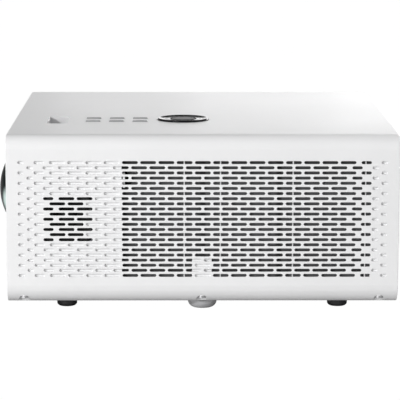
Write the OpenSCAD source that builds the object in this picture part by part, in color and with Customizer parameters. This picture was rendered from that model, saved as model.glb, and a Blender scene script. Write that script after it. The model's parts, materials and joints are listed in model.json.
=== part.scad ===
// Home projector with a disc player built in, as an assembly of its separate pieces.
// X runs along the lens axis with the lens towards -X, and the disc tray slides out towards +Y.
// The side towards -Y has the loudspeaker and the big vent. +Z is up, and the origin is on the
// table, under the middle of the whole object.

/* [Case] */
// Length of the case along the lens axis
body_l = 250; // [244:1:310]
// Width of the case across the lens axis
body_d = 262; // [258:1:330]
// Height of the case without its feet
body_h = 108.4; // [108:0.2:135]
// Wall of the case
wall = 2.2; // [1.8:0.1:2.7]
// Radius of the long upper edges
top_r = 9; // [6:0.5:11]
// Radius of the long lower edges
bottom_r = 12; // [10:0.5:13]
// Thickness of the front and rear panels
panel_t = 2.5; // [2:0.1:3]
// How far the front and rear panels lie inside the ends of the case
panel_inset = 0.6; // [0.3:0.1:1]
// Height of the feet
foot_h = 6; // [5:0.5:8]

/* [Slots] */
// Distance between slots along a row
slot_pitch = 11.55; // [11:0.05:13.8]
// Height from one row to the next
slot_rise = 3.308; // [3:0.004:4]
// Length of a full slot
slot_l = 9.7; // [8:0.1:10]
// Height of a slot
slot_h = 1.6; // [1.2:0.1:2]
// Height of the lowest row above the underside
slot_first = 18.55; // [18:0.05:22]
// Depth of a slot that is only a pocket
slot_pocket = 0.7; // [0.4:0.1:1]

/* [Lens] */
// Distance of the lens axis from the vented side
lens_in = 85; // [80:1:100]
// Height of the lens axis above the underside
lens_up = 62.6; // [62:0.2:66]
// How far the glass stands out of the front edge
lens_reach = 10.6; // [8:0.2:13]
// Radius of the front glass's edge
lens_r = 26.9; // [22:0.1:27.2]
// Radius of the front glass's curve
lens_curve = 39.5; // [36:0.5:50]
// Wall of the lens barrel
barrel_t = 2.3; // [1.8:0.1:2.5]
// Height of the ribbed focus ring over the lens mount
focus_ring_t = 2.8; // [2:0.1:3]
// Forward travel of the lens in one turn of the focus ring
focus_lead = 12; // [8:1:16]

/* [Controls] */
// Length of the focus window along the lens axis
window_l = 13.5; // [10:0.5:14]
// Width of the focus window
window_w = 38; // [30:1:44]
// Length of a key
key_l = 9.7; // [8:0.1:11]
// Width of a key
key_w = 4; // [3:0.1:5]
// Distance between key columns
key_pitch = 15.6; // [15:0.1:18]
// Distance between the two rows of keys
key_rows = 16.1; // [12:0.1:19]
// Radius of the control dial
dial_r = 17; // [14:0.5:18]
// Radius of the button in its middle
ok_r = 8; // [6:0.5:9]

/* [Disc player] */
// Width of the disc tray
tray_w = 140.6; // [136:0.2:146]
// Thickness of the disc tray
tray_t = 6; // [5:0.5:6.5]
// Radius of the disc recess
disc_r = 60.5; // [60.5:0.5:62]
// Travel of the tray
tray_travel = 130; // [110:1:130]
// Height of the tray's front
tray_front_h = 13.2; // [12:0.2:13.6]
// Module of the loading gears
gear_m = 1; // [1:0.1:1.1]
// Travel of the laser pickup
sled_travel = 33; // [25:1:34]

/* [Cooling and sound] */
// Width of a fan
fan_w = 70; // [60:1:76]
// Depth of a fan
fan_t = 15; // [12:1:16]
// Width of the loudspeaker's frame
speaker_w = 48; // [44:1:50]

/* [Fits] */
// Gap at a seam of the case
seam_gap = 0.1; // [0.05:0.05:0.2]
// Gap round a key or a button
key_gap = 0.3; // [0.2:0.05:0.5]
// Running clearance of a shaft in its bore
run_gap = 0.05; // [0.03:0.01:0.1]
// Gap between sliding or turning pieces
slide_gap = 0.3; // [0.2:0.05:0.4]

/* [Hidden] */
$fn = 48;
past = 1;  // how far a cutting shape runs past a face

// Planes of the case
x_mid = lens_reach / 2;
x_front = x_mid - body_l / 2;
x_rear = x_mid + body_l / 2;
y_near = -body_d / 2;
y_far = body_d / 2;
z_bot = foot_h;
z_top = foot_h + body_h;
z_floor = z_bot + wall;
z_roof = z_top - wall;
z_low_seam = z_bot + bottom_r;
z_high_seam = z_top - top_r;

// Slots: rows rise from the lowest, columns count from the middle of the case
slot_side = 8;
slot_above = 16.9;
slot_cols = floor((body_l / 2 - slot_side) / slot_pitch);
slot_rows = floor((body_h - slot_above - slot_first) / slot_rise) + 1;
speaker_col = -7.5;
speaker_row = 11;
vent_col = -4.4;
vent_edge = x_mid + vent_col * slot_pitch - 0.8;
vent_last = slot_cols - 0.9;
far_first_row = 6;
far_vent = 6.2;

// Screws that hold the lower case
well_in = 5.4;
well_r = 3.3;
well_h = 5.3;
well_wall = 1.6;
block_w = 12.7;
block_d = 7.3;
block_top = 30;
screw_r = 1.45;
screw_head_r = 2.8;
screw_head_h = 2.2;
screw_l = 16;
well_end = 10.8;
near_wells = [x_front + well_end, x_mid - 0.5, x_rear - well_end - 0.9];
far_wells = [near_wells[0], near_wells[2]];

// Feet
foot_side = 88;
foot_in = 25.6;
foot_r = 6.5;
foot_flat_r = 5.2;
foot_chamfer = 1.2;
foot_peg_r = 2.5;
foot_peg_h = 1.5;
jack_in = 20;
jack_r = 9.3;
jack_pad_r = 4.35;
jack_stem_r = 1.5;
stud_r = 2.95;
stud_l = 15;
jack_boss_r = 5.5;
jack_boss_h = 18;

// Thread for a tripod, a quarter of an inch
tripod_r = 3.175;
tripod_l = 10;
tripod_y = -66;
tripod_boss_r = 8;

// Lens and focus
lens_y = y_near + lens_in;
lens_z = z_bot + lens_up;
glass_gap = 0.3;
lens_gap = 0.15;
barrel_in_r = lens_r + glass_gap;
barrel_r = barrel_in_r + barrel_t;
barrel_front = x_front - 1.3;
barrel_l = 55;
barrel_end = 4;
barrel_back = barrel_front + barrel_l;
glass_edge = 3;
lens_ledge = 2.2;
mount_in_r = barrel_r + lens_gap;
mount_r = mount_in_r + 1.6;
mount_front = x_front + 9.7;
ring_in_r = mount_r + lens_gap;
ring_r = ring_in_r + focus_ring_t;
ring_ribs = 48;
bezel_r = barrel_r + 0.5;
rear_ledge = 2.6;
rear_glass_r = barrel_in_r - rear_ledge;
rear_glass_t = 6;
rear_glass_curve = 60;

// Focus window in the top
window_x = x_front + 22.5;
window_y = y_near + 64;
chute_wall = 1.6;
chute_h = 11;

// Keys and dial
key_x = x_front + 52.6;
key_y = y_near + 75.4;
key_proud = 0.7;
key_flange = 0.9;
key_flange_t = 1.6;
dial_x = x_front + 112.6;
dial_y = y_near + 85.6;
dial_gap = 0.4;
dial_in_r = ok_r + 0.6;
dial_proud = 1.3;
board_t = 1.6;
key_board_z = z_top - 9.9;
switch_h = 1;
switch_top = key_board_z + board_t + switch_h;
key_foot = switch_top + 0.5;

// Optical engine: light comes from the far side and the mirror turns it into the lens
optic_wall = 2.4;
optic_x0 = x_front + 57.7;
optic_x1 = optic_x0 + 88;
optic_y0 = lens_y - 42;
optic_y1 = lens_y + 138;
optic_z0 = lens_z - 31.6;
optic_z1 = lens_z + 31.4;
lid_t = 1.8;
light_x = (optic_x0 + optic_x1) / 2;
optic_floor = optic_z0 + optic_wall;
image_w = 80;
image_h = 58;
lcd_y = lens_y + 44;
lcd_t = 3;
fresnel_t = 2;
condenser_y = lens_y + 99;
condenser_r = 24;
condenser_t = 11;
mirror_l = 100;
mirror_t = 3;
led_w = 44;
led_t = 2;
sink_w = 64;
sink_h = 60;
sink_base = 4;
sink_fin = 1.2;
sink_fins = 13;
sink_depth = 24;
beam_y = lens_y + 106;
beam_w = 12;
post_w = 6;

// Disc loader, measured from its own floor; the tray lies along Y
dvd_x = x_mid;
loader_up = 1.3;
dvd_z = z_floor + loader_up;
rail_t = 2;
loader_in = tray_w / 2 + 0.5;
loader_out = loader_in + rail_t;
// The floor's rounded edge stops the loader short of the far wall
loader_y1 = y_far - bottom_r + sqrt(pow(bottom_r - wall, 2) - pow(bottom_r - wall - loader_up, 2))
    - slide_gap;
loader_l = 178;
loader_y0 = loader_y1 - loader_l;
loader_h = 24;
loader_floor = 1.6;
ledge_w = 4.5;
ledge_t = 1.5;
tray_z = 13;
tray_y1 = y_far - 2.9;
tray_l = 150;
tray_y0 = tray_y1 - tray_l;
disc_y = tray_y1 - 64;
recess_d = 3.5;
small_disc_r = 40.5;
slot_half = 17;
cover_t = 1.2;
puck_r = 13;
puck_flange = 2;
far_wall_h = 29;

// Loading gears under the tray's front
gear_y = tray_y1 - 16.1;
rack_teeth = floor((tray_travel + 10) / (PI * gear_m));
rack_u = -58;
drive_small = 18;
drive_big = 28;
pulley_teeth = 10;
drive_u = rack_u + drive_small * gear_m / 2;
pulley_u = drive_u + (drive_big + pulley_teeth) * gear_m / 2;
motor_u = pulley_u + 32;
pulley_r = 7.8;
motor_pulley_r = 3;
belt_t = 0.8;
pin_r = 1.5;

// Traverse with the spindle and the laser
deck_z = 9;
deck_t = 1.4;
deck_half = 31;
deck_y0 = disc_y - 88;
deck_y1 = disc_y + 24;
pivot_y = disc_y - 84;
pivot_z = deck_z + deck_t / 2;
lift_angle = 3.5;
peg_r = 1.4;
cam_y = deck_y1 + 1.5;
cam_t = 2;
cam_half = 26;
cam_travel = 12;
peg_drop = (cam_y + cam_t / 2 - pivot_y) * sin(lift_angle);
rod_u = 21;
screw_u = 25;
stepper_r = 4.2;
rod_z = 7;
rod_y0 = disc_y - 77;
rod_y1 = disc_y - 10;
sled_l = 22;
sled_y0 = disc_y - 36;
sled_half = 15;
turntable_r = 14.5;
shaft_r = 1.2;

// Fans, filter and loudspeaker
vent_x = [x_mid - 13.3, x_mid + 68.7];
fan_y = y_near + 10.5;
fan_z = z_bot + 55;
exhaust_y = y_near + 191;
exhaust_z = z_bot + 64;
fan_pads = 1;
exhaust_x = x_rear - panel_inset - panel_t - fan_pads - fan_t;
fan_bore = fan_w / 2 - 1.5;
fan_hub_r = 15;
fan_blades = 7;
filter_y = y_near + wall + 0.2;
filter_z0 = z_bot + 15;
filter_z1 = z_bot + 94;
rib_w = 0.8;
rib_d = 1.5;
mesh_t = 0.8;
filter_x1 = x_mid + 110.6 * slot_pitch / 11.55;
rib_cols = [-1, 1, 5, 9];
boss_x = vent_edge + 1.6;
boss_z = z_bot + 80;
boss_r = 4.8;
speaker_x = x_mid + speaker_col * slot_pitch;
speaker_z = z_bot + slot_first + speaker_row * slot_rise;

// Boards and sockets
main_x0 = x_rear - 48;
main_x1 = x_rear - 4;
main_y0 = y_near + 31;
main_y1 = y_near + 141;
main_z = z_floor + 6;
power_x0 = x_rear - 40;
power_y0 = y_near + 151;
power_y1 = y_near + 250;
power_z = z_floor + 4;
socket_x = x_rear - panel_inset;
hdmi_y = y_near + 50;
usb_y = y_near + 74;
jack_y = [y_near + 96, y_near + 110];
jack_hole_r = 1.75;
inlet_y = y_near + 231;
inlet_w = 24;
inlet_h = 16;

function row_z(i) = z_bot + slot_first + i * slot_rise;
function cols_of(i) = i % 2 == 0 ? [-slot_cols : slot_cols] : [-slot_cols + 0.5 : slot_cols - 0.5];
// The two outer columns are shorter
function slot_len(c) = let(e = slot_cols - abs(c)) slot_l - (e < 0.75 ? 6 : e < 1.75 ? 3.5 : 0);
function in_speaker(i, c) = abs(i - speaker_row) <= 4 && abs(c - speaker_col) <= 1;
function in_vent(i, c) = c > vent_col && c < vent_last && !(i < 4 && c == 0);
function near_open(i, c) = in_speaker(i, c) || in_vent(i, c);
function far_open(i, c) = abs(c) < far_vent;

// A box between two opposite corners
module box3(x0, x1, y0, y1, z0, z1) {
    translate([x0, y0, z0]) cube([x1 - x0, y1 - y0, z1 - z0]);
}
// Round bars along X and Y from the origin's line
module rod_x(r, x0, x1) { translate([x0, 0, 0]) rotate([0, 90, 0]) cylinder(r = r, h = x1 - x0); }
module rod_y(r, y0, y1) { translate([0, y0, 0]) rotate([-90, 0, 0]) cylinder(r = r, h = y1 - y0); }
module rod_z(r, z0, z1) { translate([0, 0, z0]) cylinder(r = r, h = z1 - z0); }
// An outline in Y and Z carried along X, and one in X and Z carried along Y
module along_x(x0, x1) { translate([x0, 0, 0]) rotate([90, 0, 90]) linear_extrude(x1 - x0) children(); }
module along_y(y0, y1) { translate([0, y1, 0]) rotate([90, 0, 0]) linear_extrude(y1 - y0) children(); }
module at_lens() { translate([0, lens_y, lens_z]) children(); }
module in_loader(u = 0, y = 0, w = 0) { translate([dvd_x + u, y, dvd_z + w]) children(); }

// Cross-section of the case, drawn in by an inset
module case_outline(inset) {
    half = body_d / 2 - inset;
    low = bottom_r - inset;
    high = top_r - inset;
    z0 = z_bot + inset;
    z1 = z_top - inset;
    translate([-half, z0 + low]) square([2 * half, z1 - z0 - low - high]);
    translate([-half + low, z0]) square([2 * (half - low), low]);
    translate([-half + high, z1 - high]) square([2 * (half - high), high]);
    for (s = [-1, 1]) {
        translate([s * (half - low), z0 + low]) circle(low);
        translate([s * (half - high), z1 - high]) circle(high);
    }
}

// A slot with round ends
module pill(l, h) {
    square([l - h, h], center = true);
    for (s = [-1, 1]) translate([s * (l - h) / 2, 0]) circle(d = h, $fn = 24);
}

module near_slots(open) {
    for (i = [0 : slot_rows - 1], c = cols_of(i))
        if (near_open(i, c) == open) translate([x_mid + c * slot_pitch, row_z(i)]) pill(slot_len(c), slot_h);
}

module far_slots(open) {
    for (i = [far_first_row : slot_rows - 1], c = cols_of(i))
        if (far_open(i, c) == open) translate([x_mid + c * slot_pitch, row_z(i)]) pill(slot_len(c), slot_h);
}

// Every place of a screw well: x, and which side it is on
module at_wells() {
    for (x = near_wells) translate([x, y_near + well_in, 0]) children();
    for (x = far_wells) translate([x, y_far - well_in, 0]) children();
}

module at_feet() {
    for (x = [x_mid - foot_side, x_mid + foot_side], s = [-1, 1])
        translate([x, s * (body_d / 2 - foot_in), 0]) children();
}

module at_fan_corners(w) {
    for (a = [-1, 1], b = [-1, 1]) translate([a * (w / 2 - 4.5), b * (w / 2 - 4.5), 0]) children();
}

// ---------------------------------------------------------------- case

module lower_case() {
    far_top = z_bot + far_wall_h;
    color("whitesmoke") difference() {
        union() {
            along_x(x_front, x_rear) intersection() {
                difference() {
                    case_outline(0);
                    case_outline(wall);
                }
                union() {
                    translate([y_near - past, z_bot - past]) square([body_d + 2 * past, bottom_r + past]);
                    translate([0, z_bot - past]) square([body_d / 2 + past, far_wall_h + past]);
                }
            }
            intersection() {
                along_x(x_front, x_rear) case_outline(0);
                union() {
                    for (x = near_wells) translate([x, y_near + well_in, 0])
                        rod_z(well_r + well_wall, z_bot, z_low_seam);
                    for (x = far_wells) translate([x, y_far - well_in, 0])
                        rod_z(well_r + well_wall, z_bot, far_top);
                }
            }
            translate([x_mid, y_near + jack_in, 0]) rod_z(jack_boss_r, z_bot + 0.5, z_bot + jack_boss_h);
            translate([x_mid, tripod_y, 0]) rod_z(tripod_boss_r, z_bot + 0.5, z_bot + tripod_l + 2);
            // Standoffs of the disc loader
            for (u = [-1, 1], y = [loader_y0 + 8, loader_y1 - 8])
                translate([dvd_x + u * (loader_out - 8), y, 0]) rod_z(4, z_bot + 0.5, dvd_z);
            // Posts of the optical engine, two of them outside the loader
            for (x = [optic_x0 + 7, optic_x1 - 7]) translate([x, optic_y0 + 8, 0])
                rod_z(4, z_bot + 0.5, optic_z0);
            for (x = [dvd_x - loader_out - post_w - 0.5, dvd_x + loader_out + 0.5])
                box3(x, x + post_w, beam_y, beam_y + beam_w, z_bot + 0.5, optic_z0);
            // Cradles of the two intake fans
            for (x = vent_x, s = [-1, 1])
                box3(x + s * 24 - 3, x + s * 24 + 3, fan_y + 1, fan_y + fan_t - 1,
                    z_bot + 0.5, fan_z - fan_w / 2);
            // Standoffs of the boards
            for (x = [main_x0 + 5, main_x1 - 5], y = [main_y0 + 5, main_y1 - 5])
                translate([x, y, 0]) rod_z(3, z_bot + 0.5, main_z);
            for (x = [power_x0 + 5, main_x1 - 5], y = [power_y0 + 5, power_y1 - 5])
                translate([x, y, 0]) rod_z(3, z_bot + 0.5, power_z);
        }
        at_wells() rod_z(well_r, z_bot - past, z_bot + well_h);
        at_wells() rod_z(screw_r + 0.25, z_bot, far_top + past);
        at_feet() rod_z(foot_peg_r + run_gap, z_bot - past, z_bot + foot_peg_h + 0.2);
        translate([x_mid, y_near + jack_in, 0])
            rod_z(stud_r + run_gap, z_bot - past, z_bot + jack_boss_h - 1.5);
        translate([x_mid, tripod_y, 0]) rod_z(tripod_r, z_bot - past, z_bot + tripod_l);
        tray_opening(past);
    }
}

// The way out for the tray's front through the far wall
module tray_opening(extra) {
    w = tray_w / 2 + 0.7;
    z0 = tray_front_z0 - slide_gap;
    z1 = tray_front_z0 + tray_front_h + slide_gap;
    box3(dvd_x - w, dvd_x + w, y_far - wall - extra, y_far + extra, z0, z1);
}
tray_front_z0 = dvd_z + tray_z + tray_t / 2 - tray_front_h / 2;

module top_cover() {
    color("whitesmoke") difference() {
        union() {
            along_x(x_front, x_rear) intersection() {
                difference() {
                    case_outline(0);
                    case_outline(wall);
                }
                translate([y_near - past, z_high_seam]) square([body_d + 2 * past, top_r + past]);
            }
            // Lips that lap inside the side panels
            for (s = [-1, 1]) along_x(x_front + 6, x_rear - 6)
                translate([s * (body_d / 2 - wall - seam_gap - 0.6) - 0.6, z_high_seam - 5])
                    square([1.2, 5 + top_r / 4]);
            // Chute of the focus window
            box3(window_x - chute_wall, window_x + window_l + chute_wall,
                window_y - chute_wall, window_y + window_w + chute_wall, z_top - chute_h, z_roof + 0.5);
            // Pillars that carry the key board
            for (x = [key_board_x0 + 4, key_board_x1 - 4], y = [key_board_y0 + 4, key_board_y1 - 4])
                translate([x, y, 0]) rod_z(2.5, key_board_z + board_t, z_roof + 0.5);
        }
        box3(window_x, window_x + window_l, window_y, window_y + window_w,
            z_top - chute_h - past, z_top + past);
        for (i = [0 : 2], j = [0, 1])
            translate([key_x + i * key_pitch, key_y + j * key_rows, z_roof - past]) key_hole();
        translate([dial_x, dial_y, 0]) rod_z(dial_r + dial_gap, z_roof - past, z_top + past);
        // Pilot holes of the key board's screws
        for (x = [key_board_x0 + 4, key_board_x1 - 4], y = [key_board_y0 + 4, key_board_y1 - 4])
            translate([x, y, 0]) rod_z(1, key_board_z, z_roof - 0.5);
    }
}
key_board_x0 = key_x - 12;
key_board_x1 = dial_x + dial_r + 5;
key_board_y0 = dial_y - dial_r - 6;
key_board_y1 = dial_y + dial_r + 6;

module key_hole() {
    linear_extrude(wall + 2 * past) square([key_l + 2 * key_gap, key_w + 2 * key_gap], center = true);
}

// A block on the inside of a side panel that takes a case screw
module screw_block(x, s, z0) {
    y0 = s > 0 ? y_far - wall - block_d : y_near + wall;
    box3(x - block_w / 2, x + block_w / 2, y0, y0 + block_d, z0, z0 + block_top - bottom_r);
}

module near_side_panel() {
    color("whitesmoke") difference() {
        union() {
            box3(x_front, x_rear, y_near, y_near + wall, z_low_seam, z_high_seam);
            for (x = near_wells) screw_block(x, -1, z_low_seam);
            translate([boss_x, 0, boss_z]) rod_y(boss_r, y_near + wall - 0.2, y_near + wall + 6);
        }
        along_y(y_near - past, y_near + slot_pocket) near_slots(false);
        along_y(y_near - past, y_near + wall + 0.5) near_slots(true);
        // The vent starts in the middle of a column
        along_y(y_near, y_near + wall + 0.5) for (i = [1 : 2 : slot_rows - 1]) intersection() {
            translate([x_mid - 4.5 * slot_pitch, row_z(i)]) pill(slot_l, slot_h);
            translate([vent_edge, row_z(i) - slot_h]) square([slot_l, 2 * slot_h]);
        }
        for (x = near_wells) translate([x, y_near + well_in, 0])
            rod_z(screw_r + run_gap, z_low_seam - past, z_bot + well_h + screw_l + 2);
        translate([boss_x, 0, boss_z]) rod_y(1.2, y_near + wall + 1, y_near + wall + 6 + past);
    }
}

module far_side_panel() {
    z0 = z_bot + far_wall_h;
    color("whitesmoke") difference() {
        union() {
            box3(x_front, x_rear, y_far - wall, y_far, z0, z_high_seam);
            for (x = far_wells) screw_block(x, 1, z0);
        }
        along_y(y_far - slot_pocket, y_far + past) far_slots(false);
        along_y(y_far - wall - past, y_far + past) far_slots(true);
        for (x = far_wells) translate([x, y_far - well_in, 0])
            rod_z(screw_r + run_gap, z0 - past, z0 + screw_l);
    }
}

module front_panel() {
    color("whitesmoke") along_x(x_front + panel_inset, x_front + panel_inset + panel_t) difference() {
        case_outline(wall + seam_gap);
        translate([lens_y, lens_z]) circle(bezel_r);
        translate([ir_y, ir_z]) pill(ir_w + 0.2, ir_h + 0.2);
    }
}
ir_y = y_near + 181;
ir_z = z_bot + 62;
ir_w = 18;
ir_h = 8;

module ir_window() {
    color("black") along_x(x_front + panel_inset - 0.2, x_front + panel_inset + panel_t)
        translate([ir_y, ir_z]) pill(ir_w, ir_h);
    color("black") along_x(x_front + panel_inset + panel_t, x_front + panel_inset + panel_t + 1)
        translate([ir_y, ir_z]) pill(ir_w + 4, ir_h + 4);
}

module rear_panel() {
    x0 = x_rear - panel_inset - panel_t;
    color("whitesmoke") difference() {
        union() {
            along_x(x0, x0 + panel_t) case_outline(wall + seam_gap);
            translate([x0 - fan_pads, exhaust_y, exhaust_z]) rotate([0, 90, 0])
                at_fan_corners(fan_w) cylinder(r = 4, h = fan_pads + 0.5);
        }
        along_x(x0 - past, x_rear + past) {
            for (i = [-9 : 9], c = i % 2 == 0 ? [-2 : 2] : [-2.5 : 2.5])
                translate([exhaust_y + c * slot_pitch, exhaust_z + i * slot_rise]) pill(slot_l, slot_h);
            translate([hdmi_y - 7.9, main_z + board_t]) square([15.8, 6.8]);
            translate([usb_y - 7.4, main_z + board_t]) square([14.8, 8.2]);
            for (y = jack_y) translate([y, main_z + board_t + 4]) circle(3.3);
            translate([inlet_y - inlet_w / 2 - 0.2, power_z + board_t + 0.8])
                square([inlet_w + 0.4, inlet_h + 0.4]);
        }
    }
}

module case_screws() {
    module screw(z1) {
        z0 = z_bot + well_h - screw_head_h;
        difference() {
            union() {
                rod_z(screw_head_r, z0, z0 + screw_head_h);
                rod_z(screw_r, z0, z1);
            }
            for (a = [0, 90]) rotate(a) translate([-1.8, -0.3, z0 - past]) cube([3.6, 0.6, past + 1]);
        }
    }
    color("silver") {
        for (x = near_wells) translate([x, y_near + well_in, 0]) screw(z_bot + well_h + screw_l);
        for (x = far_wells) translate([x, y_far - well_in, 0]) screw(z_bot + far_wall_h + screw_l - 2);
    }
}

module rubber_feet() {
    color("black") at_feet() rotate_extrude() polygon([[0, 0], [foot_flat_r, 0], [foot_r, foot_chamfer],
        [foot_r, foot_h], [foot_peg_r, foot_h], [foot_peg_r, foot_h + foot_peg_h], [0, foot_h + foot_peg_h]]);
}

// The screw-out foot: a grey thumb wheel on a stud, turning on a small rubber pad
module foot_screw() {
    top = foot_h - slide_gap;
    color("gray") translate([x_mid, y_near + jack_in, 0]) {
        difference() {
            rotate_extrude() polygon([[0, slide_gap], [jack_pad_r + 0.7, slide_gap],
                [jack_r - 1.7, 0.45 * foot_h], [jack_r, 0.82 * foot_h], [jack_r, top], [0, top]]);
            rod_z(jack_pad_r + run_gap, -past, 1.5);
            rod_z(jack_stem_r + run_gap, 0, foot_h * 0.7 + 0.2);
        }
        rod_z(stud_r, top, top + stud_l);
    }
}

module foot_pad() {
    color("black") translate([x_mid, y_near + jack_in, 0]) {
        rod_z(jack_pad_r, 0, 1.2);
        rod_z(jack_stem_r, 1.2, foot_h * 0.7);
    }
}

// What the dust filter and its frame leave free: two screw blocks and the boss behind the vent
module filter_gaps() {
    for (x = [near_wells[1], near_wells[2]])
        box3(x - block_w / 2 - 0.4, x + block_w / 2 + 0.4, y_near, y_near + 20,
            z_bot, z_bot + block_top + 0.4);
    translate([boss_x, 0, boss_z]) rod_y(boss_r + 0.4, y_near, y_near + 20);
}

module filter_frame() {
    rim = 1.6;
    color("whitesmoke") difference() {
        union() {
            along_y(filter_y, filter_y + rib_d) difference() {
                translate([vent_edge - rim, filter_z0])
                    square([filter_x1 - vent_edge + rim, filter_z1 - filter_z0]);
                translate([vent_edge, filter_z0 + rim])
                    square([filter_x1 - vent_edge - rim, filter_z1 - filter_z0 - 2 * rim]);
            }
            for (c = rib_cols) if (c < slot_cols)
                box3(x_mid + c * slot_pitch - 0.65, x_mid + c * slot_pitch - 0.65 + rib_w,
                    filter_y, filter_y + rib_d, filter_z0 + 0.5, filter_z1 - 0.5);
        }
        filter_gaps();
    }
}

module dust_filter() {
    color("dimgray") difference() {
        box3(vent_edge - 1.6, filter_x1, filter_y + rib_d, filter_y + rib_d + mesh_t, filter_z0, filter_z1);
        filter_gaps();
    }
}

// ---------------------------------------------------------------- controls

module key(i, j) {
    color("gray") translate([key_x + i * key_pitch, key_y + j * key_rows, 0]) {
        flange_top = z_roof - slide_gap;
        translate([-key_l / 2, -key_w / 2, flange_top - key_flange_t])
            cube([key_l, key_w, z_top + key_proud - flange_top + key_flange_t]);
        translate([-key_l / 2 - key_flange, -key_w / 2 - key_flange, flange_top - key_flange_t])
            cube([key_l + 2 * key_flange, key_w + 2 * key_flange, key_flange_t]);
        rod_z(1.5, key_foot, flange_top - key_flange_t + 0.2);
    }
}

module dial_boot() {
    color("dimgray") translate([dial_x, dial_y, 0]) difference() {
        rod_z(dial_r - 1.5, switch_top + 0.2, switch_top + 2.2);
        rod_z(dial_in_r + 0.6, switch_top, switch_top + 3);
    }
}

module dial_ring() {
    z0 = switch_top + 3.1;
    edge = 0.8;
    color("black") translate([dial_x, dial_y, 0]) rotate_extrude() polygon([
        [dial_in_r, z0], [dial_r, z0], [dial_r, z_top + dial_proud - edge],
        [dial_r - edge, z_top + dial_proud], [dial_in_r + edge, z_top + dial_proud - 0.3],
        [dial_in_r, z_top + dial_proud - edge]]);
}

module ok_button() {
    color("dimgray") translate([dial_x, dial_y, 0]) {
        rotate_extrude() polygon([[0, switch_top + 1.5], [ok_r, switch_top + 1.5], [ok_r, z_top + 0.4],
            [ok_r - 0.6, z_top + 0.8], [0, z_top + 0.8]]);
        rod_z(2, key_foot, switch_top + 1.6);
    }
}

module key_board() {
    z1 = key_board_z + board_t;
    color("darkgreen") {
        difference() {
            box3(key_board_x0, key_board_x1, key_board_y0, key_board_y1, key_board_z, z1);
            for (x = [key_board_x0 + 4, key_board_x1 - 4], y = [key_board_y0 + 4, key_board_y1 - 4])
                translate([x, y, 0]) rod_z(1.2, key_board_z - past, z1 + past);
        }
        // Switches under the keys, the middle button and the four sides of the dial
        for (i = [0 : 2], j = [0, 1]) translate([key_x + i * key_pitch, key_y + j * key_rows, 0]) tact(1);
        translate([dial_x, dial_y, 0]) tact(1);
        for (a = [0 : 90 : 270])
            translate([dial_x, dial_y, 0]) rotate(a) translate([dial_r - 5, 0, 0]) tact(0.7);
    }
}
module tact(h) {
    translate([-2, -2, key_board_z + board_t - 0.1]) cube([4, 4, 0.1 + h * switch_h * 0.6]);
    rod_z(1.1, key_board_z + board_t, key_board_z + board_t + h * switch_h);
}

// ---------------------------------------------------------------- lens and light path

module lens_barrel() {
    ledge_x = x_front + glass_edge;
    color("black") at_lens() difference() {
        rod_x(barrel_r, barrel_front, barrel_back);
        rod_x(barrel_in_r, barrel_front - past, ledge_x);
        rod_x(barrel_in_r - lens_ledge, ledge_x - past, barrel_back - barrel_end);
        rod_x(rear_glass_r - rear_ledge, barrel_back - barrel_end - past, barrel_back + past);
    }
}

module lens_glasses() {
    rear_x = barrel_back - barrel_end;
    color("lightcyan", 0.4) at_lens() {
        intersection() {
            translate([x_front - lens_reach + lens_curve, 0, 0]) sphere(lens_curve, $fn = 96);
            rod_x(lens_r, x_front - lens_reach - past, x_front + glass_edge);
        }
        intersection() {
            translate([rear_x - rear_glass_t + rear_glass_curve, 0, 0]) sphere(rear_glass_curve, $fn = 96);
            rod_x(rear_glass_r, rear_x - 2 - rear_glass_t, rear_x);
        }
    }
}

// Outline of a toothed wheel: half-angles of a tooth at its root, its pitch circle and its tip
module toothed(n, root_r, mid_r, tip_r, low, high, turn = 0) {
    polygon([for (i = [0 : n - 1], p = [[root_r, -low], [mid_r, -low], [tip_r, -high],
            [tip_r, high], [mid_r, low], [root_r, low]])
        p[0] * [cos(360 * i / n + p[1] + turn), sin(360 * i / n + p[1] + turn)]]);
}

module focus_ring() {
    half = 90 / ring_ribs;
    color("black") along_x(window_x - 2.8, window_x + window_l + 2.7) translate([lens_y, lens_z])
        difference() {
            toothed(ring_ribs, ring_r - 0.6, ring_r - 0.3, ring_r, half, half * 0.7);
            circle(ring_in_r);
        }
}

module optical_case() {
    in_y0 = optic_y0 + optic_wall;
    in_y1 = optic_y1 - optic_wall;
    color("black") difference() {
        union() {
            box3(optic_x0, optic_x1, optic_y0, optic_y1, optic_z0, optic_z1);
            at_lens() rod_x(mount_r, mount_front, optic_x0 + 1);
            // Cross beam that stands on the posts beside the disc loader
            box3(dvd_x - loader_out - post_w - 0.5, dvd_x + loader_out + post_w + 0.5,
                beam_y, beam_y + beam_w, optic_z0, optic_z0 + 3);
        }
        // The light chamber and the image chamber, with a round way between them
        for (y = [[in_y0, condenser_y - 3], [condenser_y, in_y1]])
            box3(optic_x0 + optic_wall, optic_x1 - optic_wall, y[0], y[1], optic_floor, optic_z1 + past);
        at_lens() rod_x(mount_in_r, mount_front - past, optic_x0 + optic_wall + past);
        translate([light_x, 0, lens_z]) rod_y(condenser_r - 2, condenser_y - 3 - past, condenser_y + past);
        box3(light_x - 15, light_x + 15, in_y1 - past, optic_y1 + past, lens_z - 15, lens_z + 15);
    }
}

module optical_lid() {
    color("dimgray") box3(optic_x0, optic_x1, optic_y0, optic_y1, optic_z1, optic_z1 + lid_t);
}

module led_module() {
    color("goldenrod") box3(light_x - led_w / 2, light_x + led_w / 2, optic_y1, optic_y1 + led_t,
        lens_z - led_w / 2, lens_z + led_w / 2);
    color("yellow") box3(light_x - 7, light_x + 7, optic_y1 - 1.5, optic_y1 + 0.1, lens_z - 7, lens_z + 7);
}

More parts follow.
